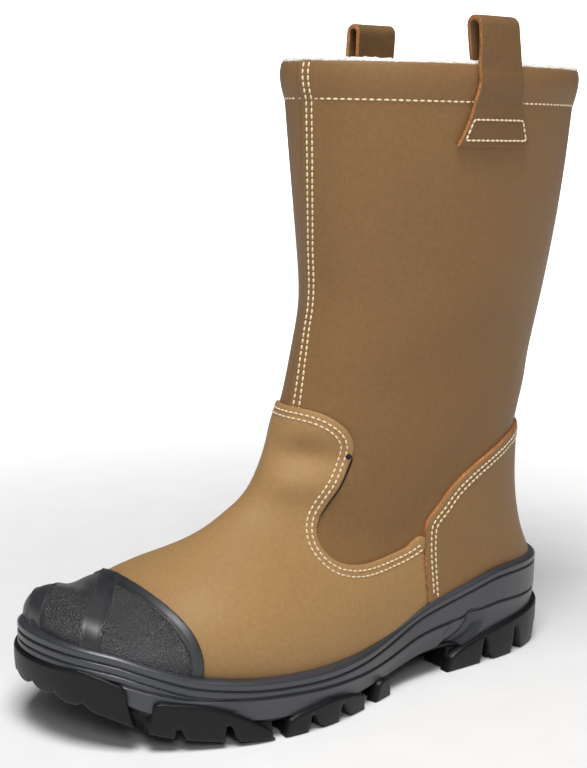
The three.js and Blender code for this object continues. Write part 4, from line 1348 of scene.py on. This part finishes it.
# Where each row of lugs starts and ends along the sole, and how far the slit behind it cuts into the
# panels, as a share of their rise.
lug_rows = [
    (0.99, 0.955, 0), (0.945, 0.912, 0), (0.878, 0.846, 0.85), (0.826, 0.772, 0.85), (0.756, 0.695, 0),
    (0.672, 0.628, 0.62), (0.61, 0.563, 0.62), (0.547, 0.506, 0), (0.472, 0.434, 0), (0.288, 0.205, 1.05),
    (0.19, 0.125, 1.1), (0.108, 0.04, 1.1), (0.025, -0.05, 0),
]
slit_rows = [(1.6, 0.42), (-0.8, 0.86), (-2, 1), (-3, 0.9)]
panel_curves = []
for rows in panel_rows:
    panel_curves.append(outline_curve([(along, up * panel_rise / foot_height) for along, up in rows]))
notch_shapes = []
for row, after in zip(lug_rows, lug_rows[1:]):
    if row[2] > 0:
        middle_y = -(row[1] + after[0]) / 2 * sole_length
        notch = [(-4.6, -2), (6.6, -2)] + [(aside, share * row[2] * panel_rise) for aside, share in slit_rows]
        notch_shapes.append(np.array(notch) + [middle_y, 0])

rubber = moulded_finish(
    "black_rubber", tint(13, 14, 16), tint(21, 22, 24), 26, 800, (0.34, 0.16), 0.0002, 0.25,
)

side_top = 46
toe_share = float(np.argmin(feather[:, 1])) / len(feather)
toe_knob_pitch = 15
toe_knob_gap = 5.5
toe_knobs_half = 3.2


def panel_inside(u, v):
    """Inside a panel's outline and outside the slits, with a row of knobs under the toe."""
    y = sole_plan(u, np.full_like(u, sole_edge + panel_stand))[:, 1]
    z = v * side_top
    flat = np.stack([y, z], -1)
    depth = np.max([depth_inside(curve, flat) for curve in panel_curves], axis=0)
    for shape in notch_shapes:
        depth = np.minimum(depth, -depth_inside(shape, flat))
    over_ground = z - ground_height(y)
    toe_run = (u - toe_share) * feather_run * 1.08
    knob_gap = toe_knob_gap * (1 - np.abs(np.cos(np.pi * toe_run / toe_knob_pitch)) ** 0.35)
    knobbed = np.abs(toe_run) < toe_knobs_half * toe_knob_pitch
    return np.minimum(depth, over_ground - np.where(knobbed, knob_gap, 0))


def panel_place(u, v, out):
    """A wall round the sole that leans in a little at the floor."""
    y = sole_plan(u, np.full_like(u, sole_edge + panel_stand))[:, 1]
    z = v * side_top
    rise = np.clip((z - ground_height(y)) / 12, 0, 1)
    plan = sole_plan(u, sole_edge + panel_stand - panel_thick - (1 - rise) ** 2 + out)
    return np.stack([plan[:, 0], plan[:, 1], np.minimum(z, bed_height(y) + lip_height + 4)], -1)


panel_bm = cut_sheet(900, 84, panel_place, panel_inside, True, panel_thick, 1.3, 3.0)
panels = put("rubber_side_panels", panel_bm, [rubber, rubber])
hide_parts("outsole")

# The plate's lower face, rounded edge and top: millimetres out, and shares of its thickness up.
plate_profile = np.array([(-30, 0.0), (-1.0, 0.0), (0.4, 0.25), (0.8, 0.6), (0.8, 1.0), (-3, 1.05)])
plate_inner = -24


def plate_place(u, v):
    profile = read_rows(v, np.linspace(0, 1, len(plate_profile)), plate_profile)
    plan = sole_plan(u, np.maximum(sole_edge - 2.8 + profile[:, 0], plate_inner))
    z = tread_height(plan[:, 1]) + profile[:, 1] * plate_thick
    return np.stack([plan[:, 0], plan[:, 1], z], -1)


plate_bm = sheet_mesh(360, 24, plate_place, True)
low_edges = [
    edge for edge in plate_bm.edges
    if edge.is_boundary and all(float(tread_height(vert.co.y)) + 0.5 > vert.co.z for vert in edge.verts)
]
bmesh.ops.holes_fill(plate_bm, edges=low_edges, sides=0)
bmesh.ops.recalc_face_normals(plate_bm, faces=plate_bm.faces)
plate = put("rubber_plate", plate_bm, [rubber])
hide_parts("outsole")

toe_index = int(toe_share * len(feather))
tread_edge = feather + sole_edge * feather_out
outer_side = tread_edge[:toe_index + 1]
inner_side = tread_edge[toe_index:][::-1]
channel = ball_width / 5
lug_margin = 2.5
lug_slant = 1.2


def outer_x(y):
    return float(np.interp(-y, -outer_side[:, 1], outer_side[:, 0]))


def inner_x(y):
    return float(np.interp(-y, -inner_side[:, 1], inner_side[:, 0]))


def lug_block(y_from, y_to, column):
    """One lug between two places along the sole, in the inner column at -1, the middle one at 0 or the
    outer one at 1. There is none where the sole is too narrow for it."""
    bm = bmesh.new()
    bmesh.ops.create_grid(bm, x_segments=4, y_segments=4, size=0.5)
    column_low = {-1: -ball_width, 0: -channel + lug_margin, 1: channel + lug_margin}[column]
    column_high = {-1: -channel - lug_margin, 0: channel - lug_margin, 1: ball_width}[column]
    for vert in bm.verts:
        along, aside = vert.co.y + 0.5, vert.co.x
        y = y_from + along * (y_to - y_from)
        low_x = max(column_low, inner_x(y) + lug_margin)
        high_x = min(column_high, outer_x(y) - lug_margin)
        vert.co = (low_x + (aside + 0.5) * (high_x - low_x), y + lug_slant * column * aside, 0)
    across_lug = [vert.co.x for vert in bm.verts]
    too_narrow = max(across_lug) - min(across_lug) < 4
    if column > 0:
        too_narrow = too_narrow or any(outer_x(vert.co.y) < channel + 5 for vert in bm.verts)
    if column < 0:
        too_narrow = too_narrow or any(inner_x(vert.co.y) > -channel - 5 for vert in bm.verts)
    if too_narrow:
        bm.free()
        return None
    raised = bmesh.ops.extrude_face_region(bm, geom=bm.faces[:])["geom"]
    for vert in bm.verts:
        vert.co.z = float(ground_height(vert.co.y)) + 0.15
    for vert in only(raised, bmesh.types.BMVert):
        vert.co.z = float(tread_height(vert.co.y)) + 1.0
    bmesh.ops.recalc_face_normals(bm, faces=bm.faces)
    sharp = [edge for edge in bm.edges if edge.calc_face_angle(0) > 0.6]
    bmesh.ops.bevel(bm, geom=sharp, offset=0.7, affect="EDGES", segments=2, profile=0.5, material=-1)
    return bm


lug_bm = bmesh.new()
for lug_from, lug_to, _ in lug_rows:
    y_from = max(-lug_from * sole_length, float(inner_side[:, 1].min()) + 9)
    y_to = min(-lug_to * sole_length, -1.5)
    for column in (-1, 0, 1):
        block = lug_block(y_from, y_to, column)
        if block:
            one_lug = bpy.data.meshes.new("lug")
            block.to_mesh(one_lug)
            block.free()
            lug_bm.from_mesh(one_lug)
            bpy.data.meshes.remove(one_lug)
lugs = put("rubber_lugs", lug_bm, [rubber])
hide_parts("outsole")
